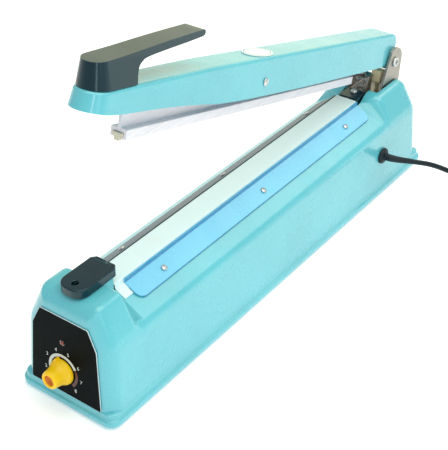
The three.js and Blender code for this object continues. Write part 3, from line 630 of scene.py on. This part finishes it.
def number(text, angle):
    """A figure printed beside the dial."""
    curve = bpy.data.curves.new("figure", "FONT")
    curve.body = text
    curve.size = NUMBER_SIZE
    curve.align_x = curve.align_y = "CENTER"
    curve.extrude = PRINT
    holder = linked("figure", curve)
    mesh = final_mesh(holder)
    bpy.data.objects.remove(holder)
    return moved(linked("figure", mesh), at(DIAL_X + NUMBER_RADIUS * math.cos(angle), PANEL_FRONT,
                                            DIAL_Z + NUMBER_RADIUS * math.sin(angle),
                                            math.pi / 2, "X"))


def dial():
    white = plastic("print_white", "D5DEDD", 0.4, mottle=0.03, depth=0.00001)
    red = plastic("print_red", "5A2A26", 0.4, mottle=0.05, depth=0.00001)
    figures = [number(str(i + 1), math.radians(NUMBER_START - NUMBER_STEP * i)) for i in range(8)]
    printed([band(*DIAL_BAND, *DIAL_WHITE), *figures], "dial_print", white)
    printed([band(*DIAL_BAND, *DIAL_WARM)], "dial_print_warm", red)


def knob():
    profile = [(0, 1.2), (9.3, 1.2), *flowing([(9.6, 1.6), (9.7, 2.6), (9.3, 4), (8.5, 5.4),
               (7.8, 6.9), (7.3, 8.6), (6.95, 10.6), (6.7, 12.8), (6.4, 14.3), (5.8, 15.1),
               (5, 15.4), (4.3, 15.2)], 4), (3.9, 14.4), (3.3, 13.2), (2.2, 12.6), (0.01, 12.5)]
    body = lathe(profile, 64)
    fin = prism(rounded(mirrored([(1.5, 0), (0.8, 11.1, 0.5)])), 1.6, 5.2, "Z")
    bore = prism(circle(0, 0, 3.2), 0, 11, "Z")
    place = at(DIAL_X, 0, DIAL_Z, math.pi / 2, "X") @ Matrix.Rotation(KNOB_TURN, 4, "Z")
    body = moved(cut(join(body, fin), bore), place)
    made = piece("knob", body, FACE, "timer", "knob_plastic", ["timer_knob"], 0.25, 40)
    # The dimple in the knob's front is coloured darker orange: painted shade in the recess of the yellow plastic.
    made.data.materials.append(plastic("knob_dimple_painted_shade", "D87A12", 0.4, mottle=0.05))
    centre = FACE @ Vector((DIAL_X, -13.4, DIAL_Z))
    for face in made.data.polygons:
        if (face.center - centre).length < 4.2 * MM:
            face.material_index = 1


def lamp():
    profile = [(0, 3), (1.6, 3), (1.6, -1.3), *((1.6 * math.cos(a), -1.3 - 0.8 * math.sin(a))
               for a in spread(0.2, 1.5, 8)), (0.01, -2.1)]
    body = moved(lathe(profile, 32), at(LAMP_X, 0, LAMP_Z, -math.pi / 2, "X"))
    piece("lamp", body, FACE, "base", "lamp_lens", ["indicator_lamp"], 0)


# ---------------------------------------- sealing jaw


def slope_top(x):
    return MIDDLE["edge"][1] - SLOPE * (x - MIDDLE["edge"][0])


def cloth():
    """One sheet over the jaw, rounded over its edges, its hems flat under the strips."""
    bend = 1.5

    def half(reach, lift):
        side = CLOTH_SIDE + lift
        top = CLOTH_TOP - CLOTH_THICK + lift
        return [(0, top), (side - bend, top), *((side - bend + bend * math.sin(a),
                top - bend + bend * math.cos(a)) for a in spread(0.2, 1.57, 6)),
                (side, slope_top(side) + 0.9 + lift),
                (side + 0.7, slope_top(side + 0.7) + 0.45 + lift),
                (reach, slope_top(reach) + 0.35 + lift)]

    def part(reach, stations):
        right, inner = half(reach, CLOTH_THICK), half(reach, 0)
        loop = ([(-x, z) for x, z in reversed(right)] + right[1:] + list(reversed(inner))
                + [(-x, z) for x, z in inner[1:]])
        return loft([[(x, y, z) for x, z in loop] for y in stations])

    long_part = part(HEM_REACH, spread(CLOTH_FROM, CLOTH_TO, 40))
    tab = part(TAB_REACH, spread(TAB_FROM, TAB_TO, 4))
    sheet = piece("jaw_cloth", join(long_part, tab), BASE, "base", "ptfe_cloth", ["ptfe_cloth"], 0)


def clamp_strips():
    """Both strips, a leaf on the slope with a lip up beside the cloth, and their screws."""
    low, high = STRIP["from"], STRIP["to"]
    lip, out, lift, thick = STRIP["in"], STRIP["out"], STRIP["lift"], STRIP["thick"]
    profile = rounded([(lip, STRIP["lip"]), (lip, slope_top(lip) + lift, 1.2),
                       (out, slope_top(out) + lift), (out, slope_top(out) + lift + thick),
                       (lip + thick, slope_top(lip + thick) + lift + thick, 0.4),
                       (lip + thick, STRIP["lip"])], 5)
    plan = rounded([(lip - 1, low), (out, low, 6), (out, high, 6), (lip - 1, high)], 10)
    tilt = math.atan(SLOPE)
    # The lips' upright faces get darker copies of the strips' finish: painted shade in the corner beside the
    # cloth.
    lip_painted_shade_looks = {"near": enamel("lip_near_painted_shade", "3F8FC0", 0.05),
                 "far": metal("lip_far_painted_shade", "6F7A70", 0.35)}
    # The far strip is the same blue-painted part as the near one. It is drawn as grey metal, a painted reflection
    # of the dark arm above it seen at a grazing angle, and its lip is darker still, which is painted shade.
    leaf_looks_with_painted_reflection = {"near": LOOKS["strip_paint"],
                  "far": metal("leaf_far_painted_reflection", "8E9AA6", 0.5, (90, 8, 90))}
    for side, tag in ((1, "near"), (-1, "far")):
        leaf = common(prism(profile, low, high, "Y"), prism(plan, 60, 90, "Z"))
        for y in STRIP_SCREWS:
            cut(leaf, moved(prism(circle(0, 0, 1.2, 16), -8, 8, "Z"),
                            at(STRIP_SCREW_X, y, slope_top(STRIP_SCREW_X), tilt, "Y")))
        if side < 0:
            moved(leaf, at(0, low + high, 0, math.pi))
        made = piece(f"strip_{tag}", leaf, BASE, "base", SLOTS[f"clamp_strip_{tag}"],
                     [f"clamp_strip_{tag}"], 0.25, look=leaf_looks_with_painted_reflection[tag])
        # The upright faces, the lips, take this second material, which holds the painted shade.
        made.data.materials.append(lip_painted_shade_looks[tag])
        for face in made.data.polygons:
            if abs(face.normal.x) > 0.8:
                face.material_index = 1
        seat = (lift + thick) * math.cos(tilt) + 0.3
        for i, y in enumerate(STRIP_SCREWS):
            place = at(side * (STRIP_SCREW_X + seat * math.sin(tilt)), y,
                       slope_top(STRIP_SCREW_X) + seat * math.cos(tilt), side * tilt, "Y")
            screw(f"strip_pan_{tag}_{i + 1}", f"strip_screw_{tag}_{i + 1}", place, BASE, "base",
                  2.3, 1.4, 0.9, 40 + 35 * i)


def screw(name, cad, place, frame_matrix, body, head, height, shank, slot_turn, deep=1.6):
    """A pan-head screw with a cross slot, standing on z = 0."""
    dome = [(head * math.cos(a), height * 0.35 + height * 0.65 * math.sin(a))
            for a in spread(0.1, 1.5, 7)]
    profile = [(0, -deep), (shank, -deep), (shank, -0.02), (head * 0.97, 0), (head, 0.15), *dome,
               (0.01, height)]
    bolt = lathe(profile, 32)
    reach, half = head * 0.62, head * 0.12
    for a, b in ((reach, half), (half, reach)):
        cut(bolt, prism(rectangle(-a, a, -b, b), height * 0.45, height + 1, "Z"))
    moved(bolt, place @ Matrix.Rotation(math.radians(slot_turn), 4, "Z"))
    piece(name, bolt, frame_matrix, body, SLOTS[cad], [cad], 0.08, 40, 2)


def terminal_cover():
    """A hollow cap, round in front, that stands over the front end of the jaw."""
    def plan(inset):
        side = CAP_HALF - inset
        return rounded(mirrored([(side, 12.4 + inset, 9), (side, 46.4, 1.5),
                                 (side - 3, 50 - inset, 1)]), 10)

    roof = FRONT_BLOCK["edge"][1]
    shell = prism(plan(0), roof + 0.3, roof + 7.2, "Z")
    hole = prism(circle(0, CAP_SCREW_Y, 2.4), roof, roof + 9, "Z")
    sink = moved(lathe([(0, 0), (2.4, 0), (3.5, 1.2), (0.01, 1.2)]), at(0, CAP_SCREW_Y, roof + 6.5))
    softened(shell, 1.3, 40, 5)
    cover = cut(shell, prism(plan(1.6), roof - 1, roof + 5.4, "Z"), hole, sink)
    piece("end_cap", cover, BASE, "base", "black_plastic", ["terminal_cover"], 0)
    screw("end_cap_screw", "terminal_cover_screw", at(0, CAP_SCREW_Y, roof + 1), BASE, "base",
          2.3, 1.6, 1.1, 20)


# ---------------------------------------- pieces refined from the frame


def refined(node, width, body):
    """The frame's own solid, with merged flat faces and rounded edges."""
    shape = bmesh.new()
    shape.from_mesh(frame["nodes"][node].data)
    bmesh.ops.remove_doubles(shape, verts=shape.verts, dist=0.002 * MM)
    bmesh.ops.dissolve_limit(shape, angle_limit=math.radians(2), verts=shape.verts,
                             edges=shape.edges)
    bmesh.ops.scale(shape, vec=(1 / MM,) * 3, verts=shape.verts)
    mesh = bpy.data.meshes.new(node)
    shape.to_mesh(mesh)
    shape.free()
    piece(f"{node}_fine", linked(node, mesh), Matrix.Scale(MM, 4), body, SLOTS[node], [node],
          width, 30)


REFINED = {                                 # the rounding of each node's edges, body by body
    "base": {"rear_terminal": 0.5, "front_terminal": 0.3, "arm_stop": 0.25, "base_plate": 0.3,
             "micro_switch": 0.4, "platform": 0.3, "transformer_core": 0.5,
             "transformer_winding": 0.8},
    "arm": {"switch_pusher": 0.5},
}


# ---------------------------------------- hinge


def bracket():
    """A U bent from sheet, its cheeks rounded round the pin."""
    low = SLOT["floor"] + 0.3
    bend = rounded(mirrored([(17, low, 3), (17, 115), (15, 115), (15, low + 2, 1)]), 8)
    cheek = [(382.2, low - 1), (417.6, low - 1), (417.6, low), (420.2, PIVOT_Z - 1),
             *circle(PIVOT_Y, PIVOT_Z, 12.6, 20, math.radians(-5), math.radians(123)),
             (387.4, 78.8), (382.2, low)]
    body = common(prism(bend, 380, 422, "Y"), prism(cheek, -20, 20, "X"))
    holes = [prism(circle(PIVOT_Y, PIVOT_Z, PIN_HOLE), -20, 20, "X")]
    holes += [prism(circle(x, y, r, 20), 60, 72, "Z")
              for x, y, r in ((PLUNGER_X, PLUNGER_Y, 2.4), (-BOLT_X, BOLT_Y, 1.9),
                              (BOLT_X, BOLT_Y, 1.9))]
    piece("bracket", cut(body, *holes), BASE, "base", "zinc_steel", ["hinge_bracket"], 0.35)
    for side, x in (("left", -BOLT_X), ("right", BOLT_X)):
        screw(f"bracket_bolt_{side}", f"bracket_screw_{side}", at(x, BOLT_Y, low + 2.3), BASE,
              "base", 3.4, 2, 1.5, 25)


def hinge_pin():
    """A headed pin through both cheeks, held by an open clip on the far side."""
    profile = [(0, -18.9), (2.6, -18.9), (2.9, -18.6), (2.9, 17.3), (4.3, 17.3), (4.3, 18.1),
               (4.0, 18.6), (3.3, 18.9), (2.5, 18.9), (2.3, 18.6), (2.2, 17.1), (0.01, 16.9)]
    place = at(0, PIVOT_Y, PIVOT_Z, math.pi / 2, "Y")
    piece("pivot_pin", moved(lathe(profile, 40), place), BASE, "base", "plain_steel",
          ["hinge_pin"], 0.08)
    clip = prism(circle(PIVOT_Y, PIVOT_Z, 5.2), -18.2, -17.3, "X")
    mouth = prism(rectangle(PIVOT_Y - 1.6, PIVOT_Y + 1.6, PIVOT_Z - 8, PIVOT_Z), -19, -17, "X")
    bore = prism(circle(PIVOT_Y, PIVOT_Z, 3.2), -19, -17, "X")
    piece("pin_clip", cut(clip, bore, mouth), BASE, "base", "zinc_steel", ["hinge_clip"], 0.1)


def return_spring():
    """A coil spring with a flat turn at each end."""
    radius, wire, turns, low, high = 4.2, 1.0, 6, 70.1, 94.5
    points = []
    for t in spread(0, 1, turns * 28):
        angle = 2 * math.pi * turns * t
        lift = min(max((t * turns - 0.75) / (turns - 1.5), 0), 1)
        points.append((radius * math.cos(angle) + SPRING_X, radius * math.sin(angle) + SPRING_Y,
                       lerp(low, high, lift)))
    made = piece("spring", sweep(points, wire / 2, 10), BASE, "base", "plain_steel",
                 ["return_spring"], 0)
    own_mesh(made)


# ---------------------------------------- arm


def nose_arc(centre, half):
    return [(half * math.cos(a), centre + half * math.sin(a))
            for a in spread(math.pi, 2 * math.pi, 28)]


def arm_dip(s):
    """How far the arm's top has fallen at s along the arm."""
    return DIP_DEPTH * max(0, (DIP_FROM - s) / (DIP_FROM - ARM_NOSE))


def arm_plan(h, inset, end):
    """Ring of the channel at one height."""
    drop = ARM_FLARE * (ARM_TOP - h)
    front = ARM_FRONT + drop - inset
    rear = ARM_REAR + drop - inset
    centre = ARM_NOSE + ARM_FRONT - drop
    return [(x, s, h) for x, s in [*nose_arc(centre, front), (rear, end), (-rear, end)]]


def dipped(thing):
    """Folds the arm's top across and lets it fall towards the nose."""
    shape = bmesh.new()
    shape.from_mesh(thing.data)
    bmesh.ops.bisect_plane(shape, geom=[*shape.verts, *shape.edges, *shape.faces],
                           plane_co=(0, DIP_FROM, 0), plane_no=(0, 1, 0))
    for vertex in shape.verts:
        share = max(0, (vertex.co.z - DIP_LOW) / (ARM_TOP - DIP_LOW))
        vertex.co.z -= share * arm_dip(vertex.co.y)
    shape.to_mesh(thing.data)
    shape.free()
    return thing


def arm_side():
    """The arm seen from the side: belly, heel round the pin, and rear end."""
    lower = flowing([(-400, 8.4), (-385.7, 7.7), (-367, 5.5), (-326.7, 3.6), (-293, 1.2),
                     (-245.6, -3.2), (-150, -4.6), (-72, -4.4), (-28, -4.1)], 4)
    heel = circle(0, 0, 8, 24, math.radians(-133), math.radians(143))
    tip = [(3.9, 11), (3.8, 15), (3.0, 19), (1.0, 21.8), (-2.0, 23.0), (-4.5, ARM_TOP)]
    return [(-400, ARM_TOP), *lower, (-12, -3.6), *heel, *tip]


def arm_shell():
    crown = 2.6
    rings = [arm_plan(h, 0, 12) for h in (-8.2, DIP_LOW, ARM_TOP - crown)]
    rings += [arm_plan(ARM_TOP - crown * (1 - math.sin(a)), crown * (1 - math.cos(a)), 12)
              for a in spread(0, math.pi / 2, 8)[1:]]
    body = common(dipped(loft(rings)), prism(arm_side(), -20, 20, "X"))
    hollow = dipped(loft([arm_plan(h, ARM_SKIN, -19) for h in (-9, DIP_LOW, ARM_TOP - 2.5)]))
    pockets = [prism(rectangle(-16.5, 30, -12, 13.5, 3), a, b, "X")
               for a, b in ((13.4, 20), (-20, -13.4))]
    holes = [prism(circle(ROCKER_S, ROCKER_H, ROCKER_HOLE), -20, 20, "X"),
             prism(circle(0, 0, PIN_HOLE), -20, 20, "X")]
    piece("press_arm", cut(body, hollow, *pockets, *holes), ARM, "arm", "body_paint",
          ["arm_shell"], 0.5, 38, 3)


def handle():
    """One solid: a foot on the arm's nose, and a grip that runs back clear of the arm."""
    low = ARM_TOP + 0.3
    under = flowing([(-350, low), (-349.7, 27), (-348.8, 31.2), (-347, 33.6), (-344.6, 35.2),
                     (-340.2, 36.8), (-321.2, 39.5), (-301.2, 42), (-284, 44.4)], 4)
    upper = flowing([(-283, 49), (-311.3, 46), (-330.9, 43.7), (-345.8, 41.8), (-358.6, 40.2),
                     (-376, 38.3), (-384, 37.3), (-400, 35.2)], 4)
    base = [(s, low - arm_dip(s)) for s in (-400, ARM_NOSE, -350)]
    side = [*base, *under[1:], (-281.6, 45.2), (-280.8, 46.8), (-281.4, 48.6), *upper]
    plan = loft([[(x, y, h) for x, y in [*nose_arc(nose + half, half), (HANDLE_TAPER * half, -279),
                                         (-HANDLE_TAPER * half, -279)]]
                 for h, half, nose in HANDLE_RINGS])
    grip = common(plan, prism(side, -15, 15, "X"))
    piece("handle", grip, ARM, "arm", "black_plastic", ["arm_handle"], 1.2, 40, 4)


def oval(rise, levels):
    """The badge's outline through levels of (height, share of its size)."""
    return moved(loft([[(k * 10 * math.cos(a), k * 14.5 * math.sin(a), z)
                        for a in spread(0, 2 * math.pi, 64)[:-1]] for z, k in levels]),
                 at(0, BADGE_S, ARM_TOP + rise))


def badge():
    plate = oval(0.2, ((0, 1), (0.5, 1), (0.6, 0.985)))
    rule = oval(0.78, ((0, 0.9), (0.06, 0.9), (0.06, 0.84), (0, 0.84)))
    piece("badge", plate, ARM, "arm", "badge_vinyl", ["oval_badge"], 0)
    piece("badge_rule", rule, ARM, "arm", "badge_vinyl", soft=0,
          look=plastic("badge_line", "7FA9B8", 0.4, mottle=0.03))


def press_bar():
    """The rail, an extrusion with a slot along its foot, and the strip that fills the slot."""
    outline = mirrored([(4.4, -12.4), (4.4, -15.2), (2.4, -15.2), (2.4, -16.6), (6.4, -16.6, 0.5),
                        (6.4, -9.8, 0.6), (1.3, -9.8, 0.8), (1.3, 12)])
    rail = prism(rounded(outline, 4), *RAIL, "Y")
    rail = cut(rail, prism(circle(ROCKER_S, ROCKER_H, ROCKER_HOLE), -4, 4, "X"))
    piece("rail", rail, ARM, "press_bar", "bar_aluminium", ["press_bar"], 0.15)
    strip = rounded(mirrored([(2, -18, 0.5), (2, -14.9), (4.1, -14.9, 0.3), (4.1, -12.7, 0.3)]), 4)
    piece("seal_strip", prism(strip, RAIL[0] - 1.5, RAIL[1] + 1.5, "Y"), ARM, "press_bar",
          "silicone_rubber", ["silicone_strip"], 0.12)


def rocker_rivet():
    head = 14.4
    dome = [(3 * math.cos(a), head + 1.2 * math.sin(a)) for a in spread(0, 1.5, 8)]
    profile = [(0, -head - 0.01), (2, -head), (2, head), *dome, (0.01, head + 1.2)]
    rivet = moved(lathe(profile, 32), at(0, ROCKER_S, ROCKER_H, math.pi / 2, "Y"))
    piece("rocker_rivet", rivet, ARM, "arm", "plain_steel", ["bar_pivot_pin"], 0)


def handle_bolts():
    for i, s in enumerate((-376, -358)):
        place = at(0, s, ARM_TOP - 2.8 - arm_dip(s), math.pi, "X")
        screw(f"handle_bolt_{i + 1}", f"handle_screw_{i + 1}", place, ARM, "arm", 3.4, 2, 1.5,
              30 + 40 * i, 11)


# ---------------------------------------- power cord and plug
# The route out of the casting, down to the table and round a neat coil, in the BASE frame.

LYING = FLOOR_Z + CORD / 2 + 0.1             # height of a cord that lies on the table
RELIEF_ROUTE = ((41.6, 357.3, 35.2), (47, 357.9, 35.1), (52, 360, 34.5), (57, 363.8, 33.4),
                (62, 368.6, 31.8))
LEAD_ROUTE = ((66, 372.9, 30.2), (70, 377.5, 28.4), (75, 383.5, 25.4), (80, 389.7, 21.4),
              (85, 396, 16.8), (90, 402.2, 12.2), (95.3, 408.6, 7.9), (101, 415.4, 4.3),
              (106.6, 422.2, 2), (111.6, 428, 0.8), (116.8, 433, 0.4), (123, 437, LYING),
              (130.6, 438.6, LYING), (141, 438.6, LYING))
TAIL_ROUTE = ((188.6, 395, 4.2), (188.6, 387.5, 3.6), (188.4, 380.4, 2.8), (187.6, 373, 1.4),
              (185.8, 365.5, 0.5), (182.8, 358.4, 0), (178.8, 351.8, LYING),
              (174.8, 345, LYING + 0.7), (172.1, 337.6, LYING + 2.2), (171, 328, LYING + 3.1))
COIL_X, COIL_Y, COIL_INNER, COIL_OUTER = 152, 402, 27.6, 36.6
COIL_TURNS, COIL_STEPS = 5.25, 24
LAYER = CORD + 0.1


def coil_place(n):
    """Radius and height of the cord after n turns: in along the table, up, and out again."""
    middle = COIL_INNER + LAYER
    if n <= 2:
        return COIL_OUTER - LAYER * n, LYING
    if n <= 3:
        rise = min(LAYER, 6.2 * (n - 2) ** 0.6)
        return COIL_INNER - 0.8 * math.sin(math.pi * (n - 2)), LYING + rise
    if n <= 4:
        return lerp(COIL_INNER, middle, smooth((n - 3) / 0.18)), LYING + LAYER
    return lerp(middle, COIL_OUTER, smooth((n - 4) / 0.18)), LYING + LAYER


def coil_route():
    route = []
    for n in (i / COIL_STEPS for i in range(round(COIL_TURNS * COIL_STEPS) + 1)):
        radius, z = coil_place(n)
        angle = math.pi / 2 - 2 * math.pi * n
        route.append((COIL_X + radius * math.cos(angle), COIL_Y + radius * math.sin(angle), z))
    return route


def power_cord():
    route = [BASE @ Vector(p) for p in (*RELIEF_ROUTE, *LEAD_ROUTE, *coil_route(), *TAIL_ROUTE)]
    curve = bpy.data.curves.new("cord", "CURVE")
    curve.dimensions = "3D"
    curve.bevel_depth = CORD / 2 * MM
    curve.bevel_resolution = 6
    curve.resolution_u = 5
    curve.use_fill_caps = True
    spline = curve.splines.new("BEZIER")
    spline.bezier_points.add(len(route) - 1)
    for point, place in zip(spline.bezier_points, route):
        point.co = place
        point.handle_left_type = point.handle_right_type = "AUTO"
    cord = linked("cord", curve)
    curve.materials.append(LOOKS["black_rubber"])
    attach(cord, "base")
    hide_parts("power_cord", "cord_coil", "cord_tail")
    on_cord = [strain_relief(), cord_tie(), plug(), *plug_pins()]


def strain_relief():
    """A flanged boot with a ribbed, tapering sleeve."""
    line = flowing(RELIEF_ROUTE, 12)

    def radius(t):
        rib = 0.07 * math.cos(2 * math.pi * 9 * t) if 0.15 < t < 0.85 else 0
        return lerp(3.2, 2.35, smooth(t)) + rib

    sleeve = sweep(line, radius, 24)
    dome = [(7 - 3 * (1 - math.cos(a)), 39.6 + 2.6 * math.sin(a)) for a in spread(0, 1.5, 8)]
    head = lathe([(0, 39.1), (6.9, 39.1), *dome, (0.01, 42.2)], 40)
    neck = lathe([(0, 34), (3.9, 34), (3.9, 39.5), (0.01, 39.5)], 32)
    place = at(0, GLAND_Y, GLAND_Z, math.pi / 2, "Y")
    boot = join(moved(head, place), moved(neck, place), sleeve)
    return piece("boot", boot, BASE, "base", "black_rubber", ["strain_relief"], 0.2, 40)


def cord_tie():
    """A soft strap round the coil's turns."""
    spare, thick = CORD / 2, 0.8
    left, right = COIL_INNER - spare, COIL_OUTER + spare
    low, high = LYING - spare, LYING + LAYER + spare
    inner = rectangle(left, right, low, high, 2, 6)
    outer = rectangle(left - thick, right + thick, low - 0.05, high + thick, 2.8, 6)
    strap = cut(prism(outer, -2.5, 2.5, "Y"), prism(inner, -4, 4, "Y"))
    place = at(COIL_X, COIL_Y, 0, math.radians(215))
    return piece("cord_tie", moved(strap, place), BASE, "base", "black_rubber", soft=0.2)


PLUG = at(171, 329.6, FLOOR_Z - 1.9, math.pi)
PLUG_MIDDLE = 7.3                           # height of its pins


def plug():
    """A flat two-pin plug, narrow where the cord enters, with notches in both sides for a grip."""
    profile = rectangle(-6.9, 6.9, 2, 12.6, 3, 8)
    sizes = flowing([(0, 0.42), (3, 0.47), (6, 0.62), (10, 0.85), (14, 0.97), (20, 1), (28, 1),
                     (33, 1), (35.2, 0.97), (36, 0.9)], 4)
    rings = []
    for y, k in sizes:
        wide = 2.5 * smooth((k - 0.3) / 0.6) * min(k, 1) if k < 0.9 else 2.5 * k
        rings.append([(x * max(wide, 0.75), y, PLUG_MIDDLE + (z - PLUG_MIDDLE) * min(k, 1))
                      for x, z in profile])
    body = loft(rings)
    for y in (17, 20.5, 24, 27.5):
        for x in (-17.6, 17.6):
            cut(body, prism(rectangle(x - 0.7, x + 0.7, y, y + 1.6), 0, 15, "Z"))
    return piece("plug", moved(body, PLUG), BASE, "base", "black_plastic", ["plug_body"], 0.4, 40)


def plug_pins():
    made = []
    for side, x in (("left", -9.3), ("right", 9.3)):
        tip = [(2 * math.cos(a), 17.4 + 1.6 * math.sin(a)) for a in spread(0, 1.5, 8)]
        pin = moved(lathe([(0, 0), (2, 0), *tip, (0.01, 19)], 32),
                    PLUG @ at(x, 36.3, PLUG_MIDDLE, -math.pi / 2, "X"))
        made.append(piece(f"pin_{side}", pin, BASE, "base", "brass_plated",
                          [f"plug_pin_{side}"], 0))
    return made


# ---------------------------------------- build

for build in (power_cord, casting, panel, dial, knob, lamp, cloth, clamp_strips, terminal_cover,
              bracket, hinge_pin, return_spring, arm_shell, handle, badge, press_bar,
              rocker_rivet, handle_bolts):
    build()
for body_name, widths in REFINED.items():
    for node_name, edge_width in widths.items():
        refined(node_name, edge_width, body_name)

for node_name, node in frame["nodes"].items():          # the CAD pieces that still show
    if not node.hide_render:
        node.data.materials.clear()
        node.data.materials.append(LOOKS[SLOTS[node_name]])
        for polygon in node.data.polygons:
            polygon.use_smooth = True
        node.data.set_sharp_from_angle(angle=math.radians(35))

# ---------------------------------------- floor, light and camera


def floor():
    reach = 6
    mesh = bpy.data.meshes.new("floor")
    mesh.from_pydata([(x, y, 0) for x, y in rectangle(-reach, reach, -reach, reach)], [],
                     [(0, 1, 2, 3)])
    look = Looks("floor_white")
    look.set(Base_Color=look.mix(look.noise(3), (0.93, 0.93, 0.93, 1), (0.97, 0.97, 0.97, 1)),
             Roughness=0.9, Specular_IOR_Level=0.0, Emission_Color=(0.95, 0.98, 1, 1),
             Emission_Strength=0.3)
    mesh.materials.append(look.material)
    linked("floor", mesh)


LIGHTS = {                                  # place, size, power and colour
    "overhead": ((0.3, 0, 1.4), (1.2, 1.6), 14.5, (0.95, 1, 0.86)),
    "side": ((1.5, -0.6, 0.6), (0.5, 0.7), 1.6, (0.7, 0.88, 1)),
    "back": ((0.45, 1.4, 1.5), (1.2, 0.8), 6.5, (1, 1, 0.95)),
    "back_left": ((-1, 1.7, 0.7), (2.4, 1.4), 6.5, (1, 1, 0.5)),
    "window": ((0.98, -1.15, 0.62), (0.15, 0.9), 2.2, (1, 1, 1)),
}


def studio():
    world = bpy.data.worlds.new("studio")
    world.use_nodes = True
    background = world.node_tree.nodes["Background"]
    background.inputs["Color"].default_value = (1, 1, 1, 1)
    background.inputs["Strength"].default_value = 0.5
    scene.world = world
    centre = Vector((0, 0, 0.08))
    for name, (place, size, power, color) in LIGHTS.items():
        data = bpy.data.lights.new(name, "AREA")
        data.shape = "RECTANGLE"
        data.size, data.size_y = size
        data.energy = power
        data.color = color
        light = linked(name, data)
        light.location = place
        light.rotation_euler = (centre - Vector(place)).to_track_quat("-Z", "Y").to_euler()
    scene.view_settings.view_transform = "Standard"


LENS = 86.66
EYE = (0.397235, -0.571401, 0.517522)
EYE_TILT, EYE_TURN = math.radians(55.108), math.radians(36.1815)


def camera():
    data = bpy.data.cameras.new("camera")
    data.sensor_fit = "HORIZONTAL"
    data.lens = LENS
    scene.camera = linked("camera", data)
    scene.camera.location = EYE
    scene.camera.rotation_euler = (EYE_TILT, 0, EYE_TURN)


floor()
studio()
camera()
